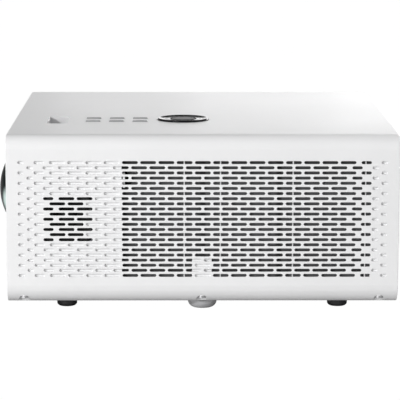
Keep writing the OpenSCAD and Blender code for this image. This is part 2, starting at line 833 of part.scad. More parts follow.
module condenser_lens() {
    curve = (condenser_r * condenser_r + condenser_t * condenser_t) / (2 * condenser_t);
    color("lightcyan", 0.4) intersection() {
        translate([light_x, condenser_y + condenser_t - curve, lens_z]) sphere(curve + 0.5, $fn = 96);
        translate([light_x, 0, lens_z]) rod_y(condenser_r, condenser_y, condenser_y + condenser_t + 2);
    }
}

module fresnel_lenses() {
    color("lightcyan", 0.4) for (y = [lcd_y - 7, lcd_y + 8])
        box3(light_x - image_w / 2, light_x + image_w / 2, y, y + fresnel_t,
            optic_floor, optic_floor + image_h);
}

module lcd_panel() {
    color("black") difference() {
        box3(light_x - image_w / 2, light_x + image_w / 2, lcd_y - lcd_t / 2, lcd_y + lcd_t / 2,
            optic_floor, optic_floor + image_h);
        for (y = [[lcd_y - lcd_t, lcd_y - 0.6], [lcd_y + 0.6, lcd_y + lcd_t]])
            box3(light_x - image_w / 2 + 4, light_x + image_w / 2 - 4, y[0], y[1],
                optic_floor + 8, optic_floor + image_h - 8);
    }
}

module fold_mirror() {
    color("silver") translate([light_x, lens_y, optic_floor]) rotate(45)
        translate([-mirror_l / 2, -mirror_t, 0]) cube([mirror_l, mirror_t, image_h]);
}

module heat_sink() {
    y0 = optic_y1 + led_t;
    pitch = (sink_w - sink_fin) / (sink_fins - 1);
    color("silver") {
        box3(light_x - sink_w / 2, light_x + sink_w / 2, y0, y0 + sink_base,
            lens_z - sink_h / 2, lens_z + sink_h / 2);
        for (i = [0 : sink_fins - 1])
            box3(light_x - sink_w / 2 + i * pitch, light_x - sink_w / 2 + i * pitch + sink_fin,
                y0 + sink_base - 0.1, y0 + sink_base + sink_depth, lens_z - sink_h / 2, lens_z + sink_h / 2);
    }
}

// ---------------------------------------------------------------- fans and loudspeaker

module fan_frame() {
    color("black") difference() {
        translate([-fan_w / 2, -fan_w / 2, 0]) cube([fan_w, fan_w, fan_t]);
        rod_z(fan_bore, -past, fan_t - 2);
        difference() {
            rod_z(fan_bore, fan_t - 3, fan_t + past);
            for (a = [45 : 90 : 315]) rotate(a) translate([0, -2, fan_t - 2]) cube([fan_w, 4, 2]);
            rod_z(fan_hub_r, fan_t - 2, fan_t);
        }
        at_fan_corners(fan_w) rod_z(2.1, -past, fan_t + past);
    }
    color("black") rod_z(pin_r, 3, fan_t - 1.9);
}

module fan_rotor() {
    color("black") {
        difference() {
            union() {
                rod_z(fan_hub_r, 1, fan_t - 2 - slide_gap * 2);
                intersection() {
                    for (i = [0 : fan_blades - 1]) rotate(i * 360 / fan_blades)
                        translate([fan_hub_r - 2, 0, fan_t / 2 - 0.6]) rotate([38, 0, 0])
                            translate([0, -7, -0.7]) cube([fan_w / 2, 14, 1.4]);
                    rod_z(fan_bore - 1, 1.4, fan_t - 3);
                }
            }
            rod_z(pin_r + run_gap, 2.4, fan_t);
        }
    }
}

module at_intake(i) { translate([vent_x[i], fan_y, fan_z]) rotate([-90, 0, 0]) children(); }
module at_exhaust() { translate([exhaust_x, exhaust_y, exhaust_z]) rotate([0, 90, 0]) children(); }

module fan_frames() {
    for (i = [0, 1]) at_intake(i) fan_frame();
    at_exhaust() fan_frame();
}
module intake_rotor_a() { at_intake(0) fan_rotor(); }
module intake_rotor_b() { at_intake(1) fan_rotor(); }
module exhaust_rotor() { at_exhaust() fan_rotor(); }

module speaker_basket() {
    r = speaker_w / 2 - 2;
    color("dimgray") translate([speaker_x, y_near + wall + 0.2, speaker_z]) rotate([-90, 0, 0]) {
        difference() {
            union() {
                translate([-speaker_w / 2, -speaker_w / 2, 0]) cube([speaker_w, speaker_w, 2]);
                cylinder(r1 = r, r2 = 13, h = 14);
            }
            translate([0, 0, -0.01]) cylinder(r1 = r - 1.4, r2 = 11.6, h = 12.8);
        }
        difference() {
            rod_z(15, 13.9, 23.9);
            rod_z(9, 12, 20);
        }
    }
}

module speaker_cone() {
    r = speaker_w / 2 - 4.9;
    color("black") translate([speaker_x, y_near + wall + 0.2, speaker_z]) rotate([-90, 0, 0])
        rotate_extrude() polygon([[0, 6], [5, 6], [6.5, 9], [r, 1.2], [r, 0.4], [r - 1, 0.4],
            [6.5, 7.8], [5.6, 5], [0, 5]]);
}

// ---------------------------------------------------------------- disc loader

module loader_frame() {
    color("dimgray") in_loader() {
        difference() {
            union() {
                difference() {
                    box3(-loader_out, loader_out, loader_y0, loader_y1, 0, loader_h);
                    box3(-loader_in, loader_in, loader_y0 + rail_t, loader_y1 + past, loader_floor,
                        loader_h + past);
                    // The traverse sinks through this opening
                    box3(-deck_half - 3, deck_half + 3, deck_y0 - 4, deck_y1 + 0.5,
                        -past, loader_floor + past);
                    box3(-cam_half - 1, cam_half + cam_travel + 1, deck_y1, cam_y + cam_t + slide_gap,
                        -past, loader_floor + past);
                }
                // Ledges under the tray's edges and rails over them
                for (s = [0, 1]) mirror([s, 0, 0]) {
                    box3(loader_in - ledge_w, loader_in + 0.5, loader_y0 + 1, loader_y1,
                        tray_z - slide_gap - ledge_t, tray_z - slide_gap);
                    box3(loader_in - 3.5, loader_in + 0.5, loader_y0 + 1, loader_y1,
                        tray_z + tray_t + slide_gap, tray_z + tray_t + slide_gap + 1.2);
                    // Ears of the traverse's pivot
                    box3(deck_half + 3.6, deck_half + 7, pivot_y - 5, pivot_y + 5, 0.5, tray_z - 0.4);
                }
                // Guide of the cam slider
                box3(-cam_half - 14, cam_half + 14, cam_y + cam_t + slide_gap, cam_y + cam_t + 1.5,
                    0, tray_z - 1);
                // Pins of the gears
                for (u = [drive_u, pulley_u])
                    translate([u, gear_y, 0]) rod_z(pin_r, loader_floor - 0.5, tray_z - 0.4);
                // Corner screw towers
                for (s = [-1, 1]) translate([s * (loader_out - 3), loader_y0 + 3, 0]) rod_z(3, 0, loader_h);
            }
            translate([0, pivot_y, pivot_z]) rod_x(pin_r + run_gap, -loader_in + 1, loader_in - 1);
        }
    }
}

module loader_cover() {
    color("silver") in_loader() difference() {
        box3(-loader_out, loader_out, loader_y0, loader_y1 - 16, loader_h, loader_h + cover_t);
        translate([0, disc_y, 0]) rod_z(puck_r + slide_gap, loader_h - past, loader_h + cover_t + past);
        for (s = [-1, 1]) translate([s * 48, disc_y - 60, 0]) rod_z(10, loader_h - past, loader_h + 2);
    }
}

module clamp_puck() {
    z0 = tray_z + tray_t + 0.6;
    z1 = loader_h + cover_t + slide_gap;
    color("whitesmoke") in_loader(0, disc_y) difference() {
        union() {
            rod_z(puck_r, z0, z1);
            rod_z(puck_r + puck_flange, z1 - 0.01, z1 + 0.8);
        }
        rod_z(5.5, z0 - past, z0 + 3);
    }
}

module disc_tray() {
    z1 = tray_z + tray_t;
    root = 1.6;
    color("dimgray") in_loader() {
        difference() {
            box3(-tray_w / 2, tray_w / 2, tray_y0, tray_y1, tray_z, z1);
            translate([0, disc_y, 0]) rod_z(disc_r, z1 - recess_d, z1 + past);
            translate([0, disc_y, 0]) rod_z(small_disc_r, z1 - recess_d - 0.8, z1 + past);
            // The turntable and the laser reach the disc through this slot
            translate([0, disc_y, 0]) rod_z(slot_half, tray_z - past, z1 + past);
            box3(-slot_half, slot_half, tray_y0 - past, disc_y, tray_z - past, z1 + past);
            // Finger notches
            for (s = [-1, 1]) translate([s * (disc_r + 1), disc_y, 0]) rod_z(7, z1 - recess_d, z1 + past);
        }
        // Rack that the drive gear moves
        box3(rack_u - root * gear_m - 2, rack_u - root * gear_m, tray_y0 + 1, gear_y + 7,
            rack_z0, tray_z + 0.5);
        translate([rack_u, gear_y, rack_z0]) linear_extrude(rack_h) rack_teeth_outline(root);
    }
}
rack_z0 = 9.6;
rack_h = 3.2;

// Teeth of the rack, with a gap at the drive gear's axis
module rack_teeth_outline(root) {
    pitch = PI * gear_m;
    for (i = [0 : rack_teeth - 1]) translate([0, -pitch * (i + 0.5) + pitch * 2])
        polygon(gear_m * [[-root - 0.2, -1.1], [-1, -1.03], [0.75, -0.43], [0.75, 0.43], [-1, 1.03],
            [-root - 0.2, 1.1]]);
}

module tray_front() {
    color("whitesmoke") box3(dvd_x - tray_w / 2, dvd_x + tray_w / 2, tray_y1, y_far,
        tray_front_z0, tray_front_z0 + tray_front_h);
}

// A spur gear with straight teeth
module spur(n, h, turn = 0) {
    pitch_r = n * gear_m / 2;
    low = 0.7 * gear_m / pitch_r * 180 / PI;
    high = 0.42 * gear_m / (pitch_r + 0.75 * gear_m) * 180 / PI;
    linear_extrude(h) toothed(n, pitch_r - 1.05 * gear_m, pitch_r, pitch_r + 0.75 * gear_m, low, high, turn);
}

gear_low = 4.6;
module drive_gear() {
    color("white") in_loader(drive_u, gear_y) difference() {
        union() {
            translate([0, 0, gear_low]) spur(drive_big, 3.4);
            translate([0, 0, rack_z0 - 0.1]) spur(drive_small, 2.8);
            rod_z(5, gear_low, rack_z0 + 1);
        }
        rod_z(pin_r + run_gap, 0, 20);
    }
}

module pulley_gear() {
    z1 = rack_z0 + 2.6;
    color("white") in_loader(pulley_u, gear_y) difference() {
        union() {
            translate([0, 0, gear_low + 0.2]) spur(pulley_teeth, 4, 180 / pulley_teeth);
            rotate_extrude() polygon([[0, 8.6], [pulley_r + 1, 8.6], [pulley_r, 9.4], [pulley_r, 11.4],
                [pulley_r + 1, z1], [0, z1]]);
        }
        rod_z(pin_r + run_gap, 0, 20);
    }
}

module motor_pulley() {
    color("white") in_loader(motor_u, gear_y) difference() {
        rotate_extrude() polygon([[0, 8.8], [motor_pulley_r + 1, 8.8], [motor_pulley_r, 9.4],
            [motor_pulley_r, 11.4], [motor_pulley_r + 1, 12.2], [0, 12.2]]);
        rod_z(1 + run_gap, 0, 12);
    }
}

// Loop of the belt round its two pulleys
module belt_outline(r1, r2, d) {
    hull() {
        circle(r1);
        translate([d, 0]) circle(r2);
    }
}

module drive_belt() {
    r1 = pulley_r + slide_gap;
    r2 = motor_pulley_r + slide_gap;
    d = motor_u - pulley_u;
    color("black") in_loader(pulley_u, gear_y, 9.9) linear_extrude(1) difference() {
        belt_outline(r1 + belt_t, r2 + belt_t, d);
        belt_outline(r1, r2, d);
    }
}

module loading_motor() {
    color("silver") in_loader(motor_u, gear_y) {
        rod_z(9.5, loader_floor, 8.2);
        rod_z(1, 8.1, 11.9);
    }
}

module traverse_deck() {
    z1 = deck_z + deck_t;
    color("silver") in_loader() {
        difference() {
            union() {
                box3(-deck_half, deck_half, deck_y0, deck_y1, deck_z, z1);
                // Lugs of the guide rods and the lead screw
                for (y = [rod_y0 - 3, rod_y1]) {
                    box3(-rod_u - 3, -rod_u + 3, y, y + 3, rod_z - 2.2, deck_z + 0.5);
                    box3(rod_u - 3, screw_u + 3, y, y + 3, rod_z - 2.2, deck_z + 0.5);
                }
                // Bearing sleeve of the spindle
                translate([0, disc_y, 0]) rod_z(3.5, deck_z, 14.6);
            }
            box3(-sled_half - 1.5, sled_half + 1.5, sled_y0 - sled_travel - 2, disc_y - 13,
                deck_z - past, z1 + past);
            // Room for the motor on the lead screw
            box3(screw_u - stepper_r - 0.3, screw_u + stepper_r + 0.3, deck_y0 - past, rod_y0 - 3,
                deck_z - past, z1 + past);
            translate([0, disc_y, 0]) rod_z(shaft_r + run_gap, 0, 20);
            for (s = [-1, 1]) translate([s * rod_u, 0, rod_z])
                rod_y(pin_r + 0.02, rod_y0 - 3 - past, rod_y1 + 3 + past);
            translate([screw_u, 0, rod_z]) rod_y(pin_r + run_gap, rod_y0 - 3 - past, rod_y1 + 3 + past);
        }
        // Pivot pins at the back, and the peg that rides in the cam at the front
        for (s = [-1, 1]) translate([0, pivot_y, pivot_z])
            rod_x(pin_r, s > 0 ? deck_half - 1 : -deck_half - 6.6, s > 0 ? deck_half + 6.6 : -deck_half + 1);
        translate([0, 0, pivot_z]) rod_y(peg_r, deck_y1 - 1, cam_y + cam_t - 0.1);
    }
}

// Its slanting slot lifts and lowers the front of the traverse
module cam_slider() {
    slope = atan(peg_drop / cam_travel);
    color("white") in_loader(0, cam_y) difference() {
        box3(-cam_half, cam_half, 0, cam_t, 0.4, tray_z - 0.5);
        translate([0, 0, pivot_z]) rod_y(peg_r + slide_gap, -past, cam_t + past);
        translate([-cam_travel, 0, pivot_z - peg_drop]) rod_y(peg_r + slide_gap, -past, cam_t + past);
        translate([0, 0, pivot_z]) rotate([0, -slope, 0])
            translate([-cam_travel / cos(slope), -past, -peg_r - slide_gap])
                cube([cam_travel / cos(slope), cam_t + 2 * past, 2 * (peg_r + slide_gap)]);
    }
}

module turntable() {
    color("silver") in_loader(0, disc_y) {
        rod_z(11, 5, deck_z - slide_gap);
        rod_z(shaft_r, 8, 16);
        rod_z(turntable_r, 15, 17);
        rotate_extrude() polygon([[0, 16.9], [7.3, 16.9], [7.3, 18], [5, 19.2], [0, 19.2]]);
    }
}

module pickup_sled() {
    y1 = sled_y0 + sled_l;
    color("dimgray") in_loader() difference() {
        union() {
            box3(-sled_half, sled_half, sled_y0, y1, rod_z - 2.1, 14.5);
            box3(-rod_u - 3, -sled_half + 1, sled_y0, y1, rod_z - 2.1, deck_z - slide_gap);
            box3(sled_half - 1, screw_u + 3, sled_y0, y1, rod_z - 2.1, deck_z - slide_gap);
            translate([0, (sled_y0 + y1) / 2, 0]) rod_z(4, 14.4, 15.6);
        }
        for (s = [-1, 1]) translate([s * rod_u, 0, rod_z]) rod_y(pin_r + run_gap, sled_y0 - past, y1 + past);
        translate([screw_u, 0, rod_z]) rod_y(pin_r + run_gap, sled_y0 - past, y1 + past);
    }
}

module guide_rods() {
    color("silver") in_loader() for (s = [-1, 1])
        translate([s * rod_u, 0, rod_z]) rod_y(pin_r, rod_y0 - 3, rod_y1 + 3);
}

module lead_screw() {
    color("silver") in_loader() translate([screw_u, 0, rod_z]) {
        rod_y(pin_r, rod_y0 - 5, rod_y1 + 3);
        rod_y(stepper_r, rod_y0 - 12, rod_y0 - 3.3);
    }
}

// ---------------------------------------------------------------- boards and sockets

module main_board() {
    z1 = main_z + board_t;
    color("darkgreen") {
        box3(main_x0, main_x1, main_y0, main_y1, main_z, z1);
        box3(main_x0 + 6, main_x0 + 22, main_y0 + 40, main_y0 + 56, z1 - 0.1, z1 + 1.6);
        box3(main_x0 + 4, main_x0 + 24, main_y0 + 64, main_y0 + 74, z1 - 0.1, z1 + 1.2);
        for (i = [0 : 2]) translate([main_x0 + 8 + 12 * i, main_y1 - 10, 0]) rod_z(3, z1 - 0.1, z1 + 9);
        for (i = [0 : 3]) box3(main_x0 + 1, main_x0 + 5, main_y0 + 8 + 24 * i, main_y0 + 20 + 24 * i,
            z1 - 0.1, z1 + 5);
    }
}

module power_board() {
    z1 = power_z + board_t;
    color("saddlebrown") {
        box3(power_x0, main_x1, power_y0, power_y1, power_z, z1);
        box3(power_x0 + 6, power_x0 + 30, power_y0 + 8, power_y0 + 32, z1 - 0.1, z1 + 15);
        translate([power_x0 + 12, power_y0 + 46, 0]) rod_z(7, z1 - 0.1, z1 + 17);
        box3(power_x0 + 4, power_x0 + 7, power_y0 + 58, power_y0 + 88, z1 - 0.1, z1 + 16);
        box3(power_x0 + 20, power_x0 + 32, power_y0 + 36, power_y0 + 54, z1 - 0.1, z1 + 12);
    }
}

// Two-pin appliance inlet
module mains_inlet() {
    z0 = power_z + board_t;
    z1 = z0 + 1 + inlet_h;
    color("black") difference() {
        union() {
            box3(socket_x - 18, socket_x, inlet_y - inlet_w / 2, inlet_y + inlet_w / 2, z0 + 1, z1);
            box3(socket_x - 18, socket_x - panel_t - 2, inlet_y - 9, inlet_y + 9, z0, z0 + 1.1);
        }
        along_x(socket_x - 11, socket_x + past) translate([inlet_y, (z0 + 1 + z1) / 2]) pill(18, 9);
    }
    color("silver") for (s = [-1, 1]) translate([0, inlet_y + s * 4.3, (z0 + 1 + z1) / 2])
        rod_x(1.2, socket_x - 11.5, socket_x - 2);
}

module av_sockets() {
    z0 = main_z + board_t;
    color("silver") {
        difference() {
            box3(socket_x - 13, socket_x, hdmi_y - 7.6, hdmi_y + 7.6, z0, z0 + 6.4);
            box3(socket_x - 10, socket_x + past, hdmi_y - 7, hdmi_y + 7, z0 + 0.7, z0 + 5.7);
        }
        difference() {
            box3(socket_x - 15, socket_x, usb_y - 7, usb_y + 7, z0, z0 + 7.8);
            box3(socket_x - 12, socket_x + past, usb_y - 6.3, usb_y + 6.3, z0 + 0.8, z0 + 7);
        }
    }
    color("black") for (y = jack_y) difference() {
        union() {
            box3(socket_x - 14, socket_x - panel_t - 0.2, y - 4, y + 4, z0, z0 + 8);
            translate([0, y, z0 + 4]) rod_x(3, socket_x - 4, socket_x);
        }
        translate([0, y, z0 + 4]) rod_x(jack_hole_r, socket_x - 13, socket_x + past);
    }
}

lower_case();
top_cover();
near_side_panel();
far_side_panel();
front_panel();
rear_panel();
case_screws();
rubber_feet();
dust_filter();
filter_frame();
foot_screw();
foot_pad();
key(0, 0);  // power_key
key(1, 0);  // source_key
key(2, 0);  // menu_key
key(0, 1);  // eject_key
key(1, 1);  // play_key
key(2, 1);  // volume_key
dial_boot();
dial_ring();
ok_button();
key_board();
ir_window();
lens_barrel();
lens_glasses();
focus_ring();
optical_case();
optical_lid();
led_module();
condenser_lens();
fresnel_lenses();
lcd_panel();
fold_mirror();
heat_sink();
fan_frames();
intake_rotor_a();
intake_rotor_b();
exhaust_rotor();
speaker_basket();
speaker_cone();
loader_frame();
loader_cover();
clamp_puck();
disc_tray();
tray_front();
drive_gear();
pulley_gear();
drive_belt();
loading_motor();
motor_pulley();
traverse_deck();
cam_slider();
turntable();
pickup_sled();
guide_rods();
lead_screw();
main_board();
power_board();
mains_inlet();
av_sockets();
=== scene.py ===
import json
import math
import bmesh
import bpy
import numpy as np
from mathutils import Matrix, Vector

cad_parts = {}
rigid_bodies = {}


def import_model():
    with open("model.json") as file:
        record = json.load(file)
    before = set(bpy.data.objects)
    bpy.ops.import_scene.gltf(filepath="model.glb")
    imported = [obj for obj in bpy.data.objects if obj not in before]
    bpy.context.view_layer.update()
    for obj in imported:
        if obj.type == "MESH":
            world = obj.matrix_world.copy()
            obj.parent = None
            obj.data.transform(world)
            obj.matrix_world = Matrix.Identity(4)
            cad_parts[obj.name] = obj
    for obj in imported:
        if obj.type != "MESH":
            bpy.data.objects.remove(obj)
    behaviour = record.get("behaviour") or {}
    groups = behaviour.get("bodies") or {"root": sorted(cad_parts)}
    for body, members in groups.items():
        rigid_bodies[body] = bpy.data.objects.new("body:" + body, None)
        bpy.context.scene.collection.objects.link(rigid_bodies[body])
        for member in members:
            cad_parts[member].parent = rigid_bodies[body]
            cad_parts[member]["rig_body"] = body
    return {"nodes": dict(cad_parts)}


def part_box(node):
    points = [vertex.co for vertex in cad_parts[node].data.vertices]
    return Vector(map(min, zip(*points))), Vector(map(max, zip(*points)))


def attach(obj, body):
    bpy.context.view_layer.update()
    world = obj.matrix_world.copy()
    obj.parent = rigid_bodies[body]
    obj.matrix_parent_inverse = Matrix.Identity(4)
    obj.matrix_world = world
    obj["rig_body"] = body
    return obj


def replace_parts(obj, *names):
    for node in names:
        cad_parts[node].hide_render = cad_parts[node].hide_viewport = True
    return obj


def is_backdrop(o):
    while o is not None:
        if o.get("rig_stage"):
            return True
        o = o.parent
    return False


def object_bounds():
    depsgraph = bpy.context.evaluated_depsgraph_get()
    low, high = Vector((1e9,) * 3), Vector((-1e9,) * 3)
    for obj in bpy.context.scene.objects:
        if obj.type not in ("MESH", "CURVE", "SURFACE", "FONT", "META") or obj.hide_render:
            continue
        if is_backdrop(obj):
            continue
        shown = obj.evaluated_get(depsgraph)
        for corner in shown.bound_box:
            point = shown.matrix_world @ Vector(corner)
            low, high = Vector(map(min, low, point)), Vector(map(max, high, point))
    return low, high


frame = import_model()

cad_low, cad_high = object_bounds()
scene = bpy.context.scene

# ---------------------------------------------------------------- studio
# A long lens looks at the slotted side from a little above, over a pale and nearly shadowless
# table. The key lamp stands high on the left, with low fills on both sides. Panels behind, which
# are stronger to the right, and a small lamp above make the lid fade from grey to white.

FOCAL, SENSOR = 191.43, 36  # in millimetres
EYE = Vector((-0.01062, -1.46503, 0.28897))
TILT_DOWN, TURN, ROLL = (math.radians(angle) for angle in (9.181, -0.607, 0.095))

camera = bpy.data.objects.new("camera", bpy.data.cameras.new("camera"))
scene.collection.objects.link(camera)
camera.data.sensor_width, camera.data.lens = SENSOR, FOCAL
camera.data.clip_start = 0.05
camera.matrix_world = (Matrix.Translation(EYE) @ Matrix.Rotation(TURN, 4, "Z")
                       @ Matrix.Rotation(math.pi / 2 - TILT_DOWN, 4, "X")
                       @ Matrix.Rotation(ROLL, 4, "Z"))
scene.camera = camera
scene.view_settings.view_transform = "Standard"


def material(name):
    """A new material, its node tree and its Principled shader."""
    made = bpy.data.materials.new(name)
    made.use_nodes = True
    return made, made.node_tree, made.node_tree.nodes["Principled BSDF"]


def laid(tree, *kinds):
    """New shader nodes of these kinds in a node tree."""
    return [tree.nodes.new("ShaderNode" + kind) for kind in kinds]


def lamp(name, place, target, width, height, watts):
    """A soft rectangular lamp at place that faces target."""
    light = bpy.data.lights.new(name, "AREA")
    light.shape = "RECTANGLE"
    light.size, light.size_y, light.energy = width, height, watts
    piece = bpy.data.objects.new(name, light)
    scene.collection.objects.link(piece)
    piece.location = place
    piece.rotation_euler = (Vector(target) - Vector(place)).to_track_quat("-Z", "Y").to_euler()
    piece.visible_camera = False


AIM, TOP_AIM = (0, 0, 0.06), (0, 0, 0.114)
lamp("key_lamp", (-1.9, -2.0, 1.15), AIM, 0.25, 0.25, 44)
lamp("low_fill", (-1.2, -2.2, 0.12), AIM, 0.4, 0.3, 21)
lamp("right_fill", (1.8, -2.2, 0.4), AIM, 0.5, 0.5, 7)
BACK_PANELS = ((-0.3, 0.15), (-0.15, 0.18), (0.0, 0.4), (0.15, 0.42), (0.3, 0.66), (0.45, 0.7))
for x, watts in BACK_PANELS:
    lamp("back_panel", (x, 0.9, 0.2), TOP_AIM, 0.3, 0.4, watts)
lamp("back_right_panel", (0.75, 0.9, 0.2), TOP_AIM, 0.5, 0.4, 5)
lamp("top_right_lamp", (0.14, 0.06, 0.3), (0.12, 0, 0.114), 0.15, 0.15, 0.08)

# The room is white to the camera, and dimmer in what the object mirrors
MIRRORED, SEEN = 0.3, 1.0
world = bpy.data.worlds.new("studio_air")
scene.world = world
world.use_nodes = True
room, sky = world.node_tree, world.node_tree.nodes["Background"]
path, strength = laid(room, "LightPath", "MapRange")
strength.inputs["To Min"].default_value, strength.inputs["To Max"].default_value = MIRRORED, SEEN
sky.inputs["Color"].default_value = (1, 1, 1, 1)
room.links.new(path.outputs["Is Camera Ray"], strength.inputs["Value"])
room.links.new(strength.outputs[0], sky.inputs["Strength"])

# The table shines white where it is seen, and gives little light to what stands on it
TABLE_GREY, TABLE_GLOW, GLOW_SHARE, TABLE_HALF = 0.45, 1.03, 0.97, 30
table_made, tree, shader = material("table_top")
shader.inputs["Base Color"].default_value = (TABLE_GREY, TABLE_GREY, TABLE_GREY, 1)
shader.inputs["Roughness"].default_value = 0.8
path, share, glow, mix = laid(tree, "LightPath", "Math", "Emission", "MixShader")
glow.inputs["Strength"].default_value = TABLE_GLOW
share.operation = "MULTIPLY"
share.inputs[1].default_value = GLOW_SHARE
tree.links.new(path.outputs["Is Camera Ray"], share.inputs[0])
tree.links.new(share.outputs[0], mix.inputs[0])
tree.links.new(shader.outputs[0], mix.inputs[1])
tree.links.new(glow.outputs[0], mix.inputs[2])
tree.links.new(mix.outputs[0], tree.nodes["Material Output"].inputs["Surface"])
table_mesh = bpy.data.meshes.new("table")
table_mesh.from_pydata([(x * TABLE_HALF, y * TABLE_HALF, 0)
                        for x, y in ((-1, -1), (1, -1), (1, 1), (-1, 1))], [], [(0, 1, 2, 3)])
table_mesh.materials.append(table_made)
table = bpy.data.objects.new("table", table_mesh)
scene.collection.objects.link(table)
table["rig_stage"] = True

# ---------------------------------------------------------------- moulded white case
# The shell is white moulded plastic with a fine sparked grain. The mouldings' surfaces are
# closed sheets of points, welded into one mesh a piece.


def new_group(name, inputs, outputs):
    """An empty node group for an effect, with inputs {name: usual value} and outputs by name, and
    its two end nodes."""
    group = bpy.data.node_groups.new(name, "ShaderNodeTree")
    for label, value in inputs.items():
        kind = "NodeSocketVector" if np.ndim(value) else "NodeSocketFloat"
        socket = group.interface.new_socket(label, in_out="INPUT", socket_type=kind)
        socket.default_value = value
    for label in outputs:
        group.interface.new_socket(label, in_out="OUTPUT", socket_type="NodeSocketFloat")
    return group, group.nodes.new("NodeGroupInput"), group.nodes.new("NodeGroupOutput")


def effect(tree, group, **values):
    """A node group placed in a material's tree, with its own values."""
    node, = laid(tree, "Group")
    node.node_tree = group
    for name, value in values.items():
        node.inputs[name].default_value = value
    return node


def grain_group():
    """The fine grain of a mould: slow clouds as a mask, a roughness that drifts with them between
    two values, and a fine noise as a height for bump."""
    usual = {"Scale": 2500, "Smoothest": 0.3, "Roughest": 0.45}
    group, given, out = new_group("moulded_grain", usual, ("Cloud", "Roughness", "Height"))
    place, fine, cloud, rough = laid(group, "TexCoord", "TexNoise", "TexNoise", "MapRange")
    fine.inputs["Detail"].default_value = 3
    cloud.inputs["Scale"].default_value, cloud.inputs["Detail"].default_value = 22, 2
    links = group.links
    for noise in (fine, cloud):
        links.new(place.outputs["Object"], noise.inputs["Vector"])
    links.new(given.outputs["Scale"], fine.inputs["Scale"])
    links.new(cloud.outputs["Fac"], rough.inputs["Value"])
    links.new(given.outputs["Smoothest"], rough.inputs["To Min"])
    links.new(given.outputs["Roughest"], rough.inputs["To Max"])
    links.new(cloud.outputs["Fac"], out.inputs["Cloud"])
    links.new(rough.outputs[0], out.inputs["Roughness"])
    links.new(fine.outputs["Fac"], out.inputs["Height"])
    return group


GRAIN = grain_group()


def plastic(name, light, dark, smoothest, roughest, grain=0.0004, depth=0.00001):
    """Moulded plastic: two close colours in soft clouds, a roughness that drifts, and a grain of
    a size and depth in metres."""
    made, tree, shader = material(name)
    links = tree.links
    moulded = effect(tree, GRAIN, Scale=1 / grain, Smoothest=smoothest, Roughest=roughest)
    ramp, bump = laid(tree, "ValToRGB", "Bump")
    for stop, at, colour in zip(ramp.color_ramp.elements, (0.3, 0.7), (dark, light)):
        stop.position, stop.color = at, (*colour, 1)
    bump.inputs["Distance"].default_value = depth
    links.new(moulded.outputs["Cloud"], ramp.inputs["Fac"])
    links.new(ramp.outputs["Color"], shader.inputs["Base Color"])
    links.new(moulded.outputs["Roughness"], shader.inputs["Roughness"])
    links.new(moulded.outputs["Height"], bump.inputs["Height"])
    links.new(bump.outputs["Normal"], shader.inputs["Normal"])
    return made


WHITE = plastic("white_plastic", (0.84, 0.84, 0.845), (0.82, 0.82, 0.825), 0.34, 0.42)


def arc(x, y, radius, start, end, steps):
    """steps + 1 points on a circle round (x, y), from one angle in degrees to another."""
    turn = np.radians(np.linspace(start, end, steps + 1))
    return np.stack([x + radius * np.cos(turn), y + radius * np.sin(turn)], -1)


def finished(name, mesh, body, sharp):
    """A piece from a mesh: smooth but for edges that bend by more than `sharp` degrees, evenly
    shaded and riding on a body."""
    mesh.shade_smooth()
    mesh.set_sharp_from_angle(angle=math.radians(sharp))
    piece = bpy.data.objects.new(name, mesh)
    scene.collection.objects.link(piece)
    piece.modifiers.new("even_shading", "WEIGHTED_NORMAL").keep_sharp = True
    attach(piece, body)
    return piece


def built(name, sheets, made, body):
    """One closed piece from sheets of points: neighbours in the last two directions share faces,
    points within 0.1 micrometre are welded, and a face whose corners meet loses them."""
    points, faces, first = [], [], 0
    for sheet in sheets:
        index = np.arange(sheet[..., 0].size).reshape(sheet.shape[:-1]) + first
        corners = [index[..., :-1, :-1], index[..., 1:, :-1],
                   index[..., 1:, 1:], index[..., :-1, 1:]]
        faces.append(np.stack(corners, -1).reshape(-1, 4))
        points.append(sheet.reshape(-1, 3))
        first += index.size
    points, faces = np.concatenate(points), np.concatenate(faces)
    _, kept, same = np.unique(np.round(points, 7) + 0.0, axis=0, return_index=True,
                              return_inverse=True)
    faces = same.reshape(-1)[faces]
    whole = [tuple(dict.fromkeys(face)) for face in faces.tolist()]
    mesh = bpy.data.meshes.new(name)
    mesh.from_pydata(points[kept].tolist(), [], [face for face in whole if len(face) > 2])
    mesh.validate()
    shaped = bmesh.new()
    shaped.from_mesh(mesh)
    bmesh.ops.recalc_face_normals(shaped, faces=shaped.faces)
    shaped.to_mesh(mesh)
    shaped.free()
    mesh.materials.append(made)
    return finished(name, mesh, body, sharp=35)


# ---------------------------------------------------------------- slotted sides
# Two flat white panels, each moulded with brick-like rows of round-ended slots. Most slots of
# the near side are open, in front of the vent and the loudspeaker; the rest are shallow pockets.

WALL, EDGE = 0.0022, 0.0004
PITCH, RISE, ROWS, COLUMNS, FIRST_ROW = 0.01155, 0.003308, 23, 10, 0.02455
SLOT_LENGTH, SLOT_HEIGHT, POCKET = 0.01, 0.0019, 0.0017
END_SLOT_SHORTER, NEXT_SLOT_SHORTER = 0.006, 0.0035
LIP, DRAFT = 0.0001, 0.00038
CELLS = 4  # of the grid, along each side of the block round a slot
near_low, near_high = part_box("near_side_panel")
CENTRE = (near_low.x + near_high.x) / 2


def border(a, b):
    """Steps along X and Y round a block of a by b cells, from its lower right corner upwards."""
    i = np.concatenate([np.full(b, a), a - np.arange(a), np.zeros(b), np.arange(a)])
    j = np.concatenate([np.arange(b), np.full(a, b), b - np.arange(b), np.zeros(a)])
    return i.astype(int), j.astype(int)


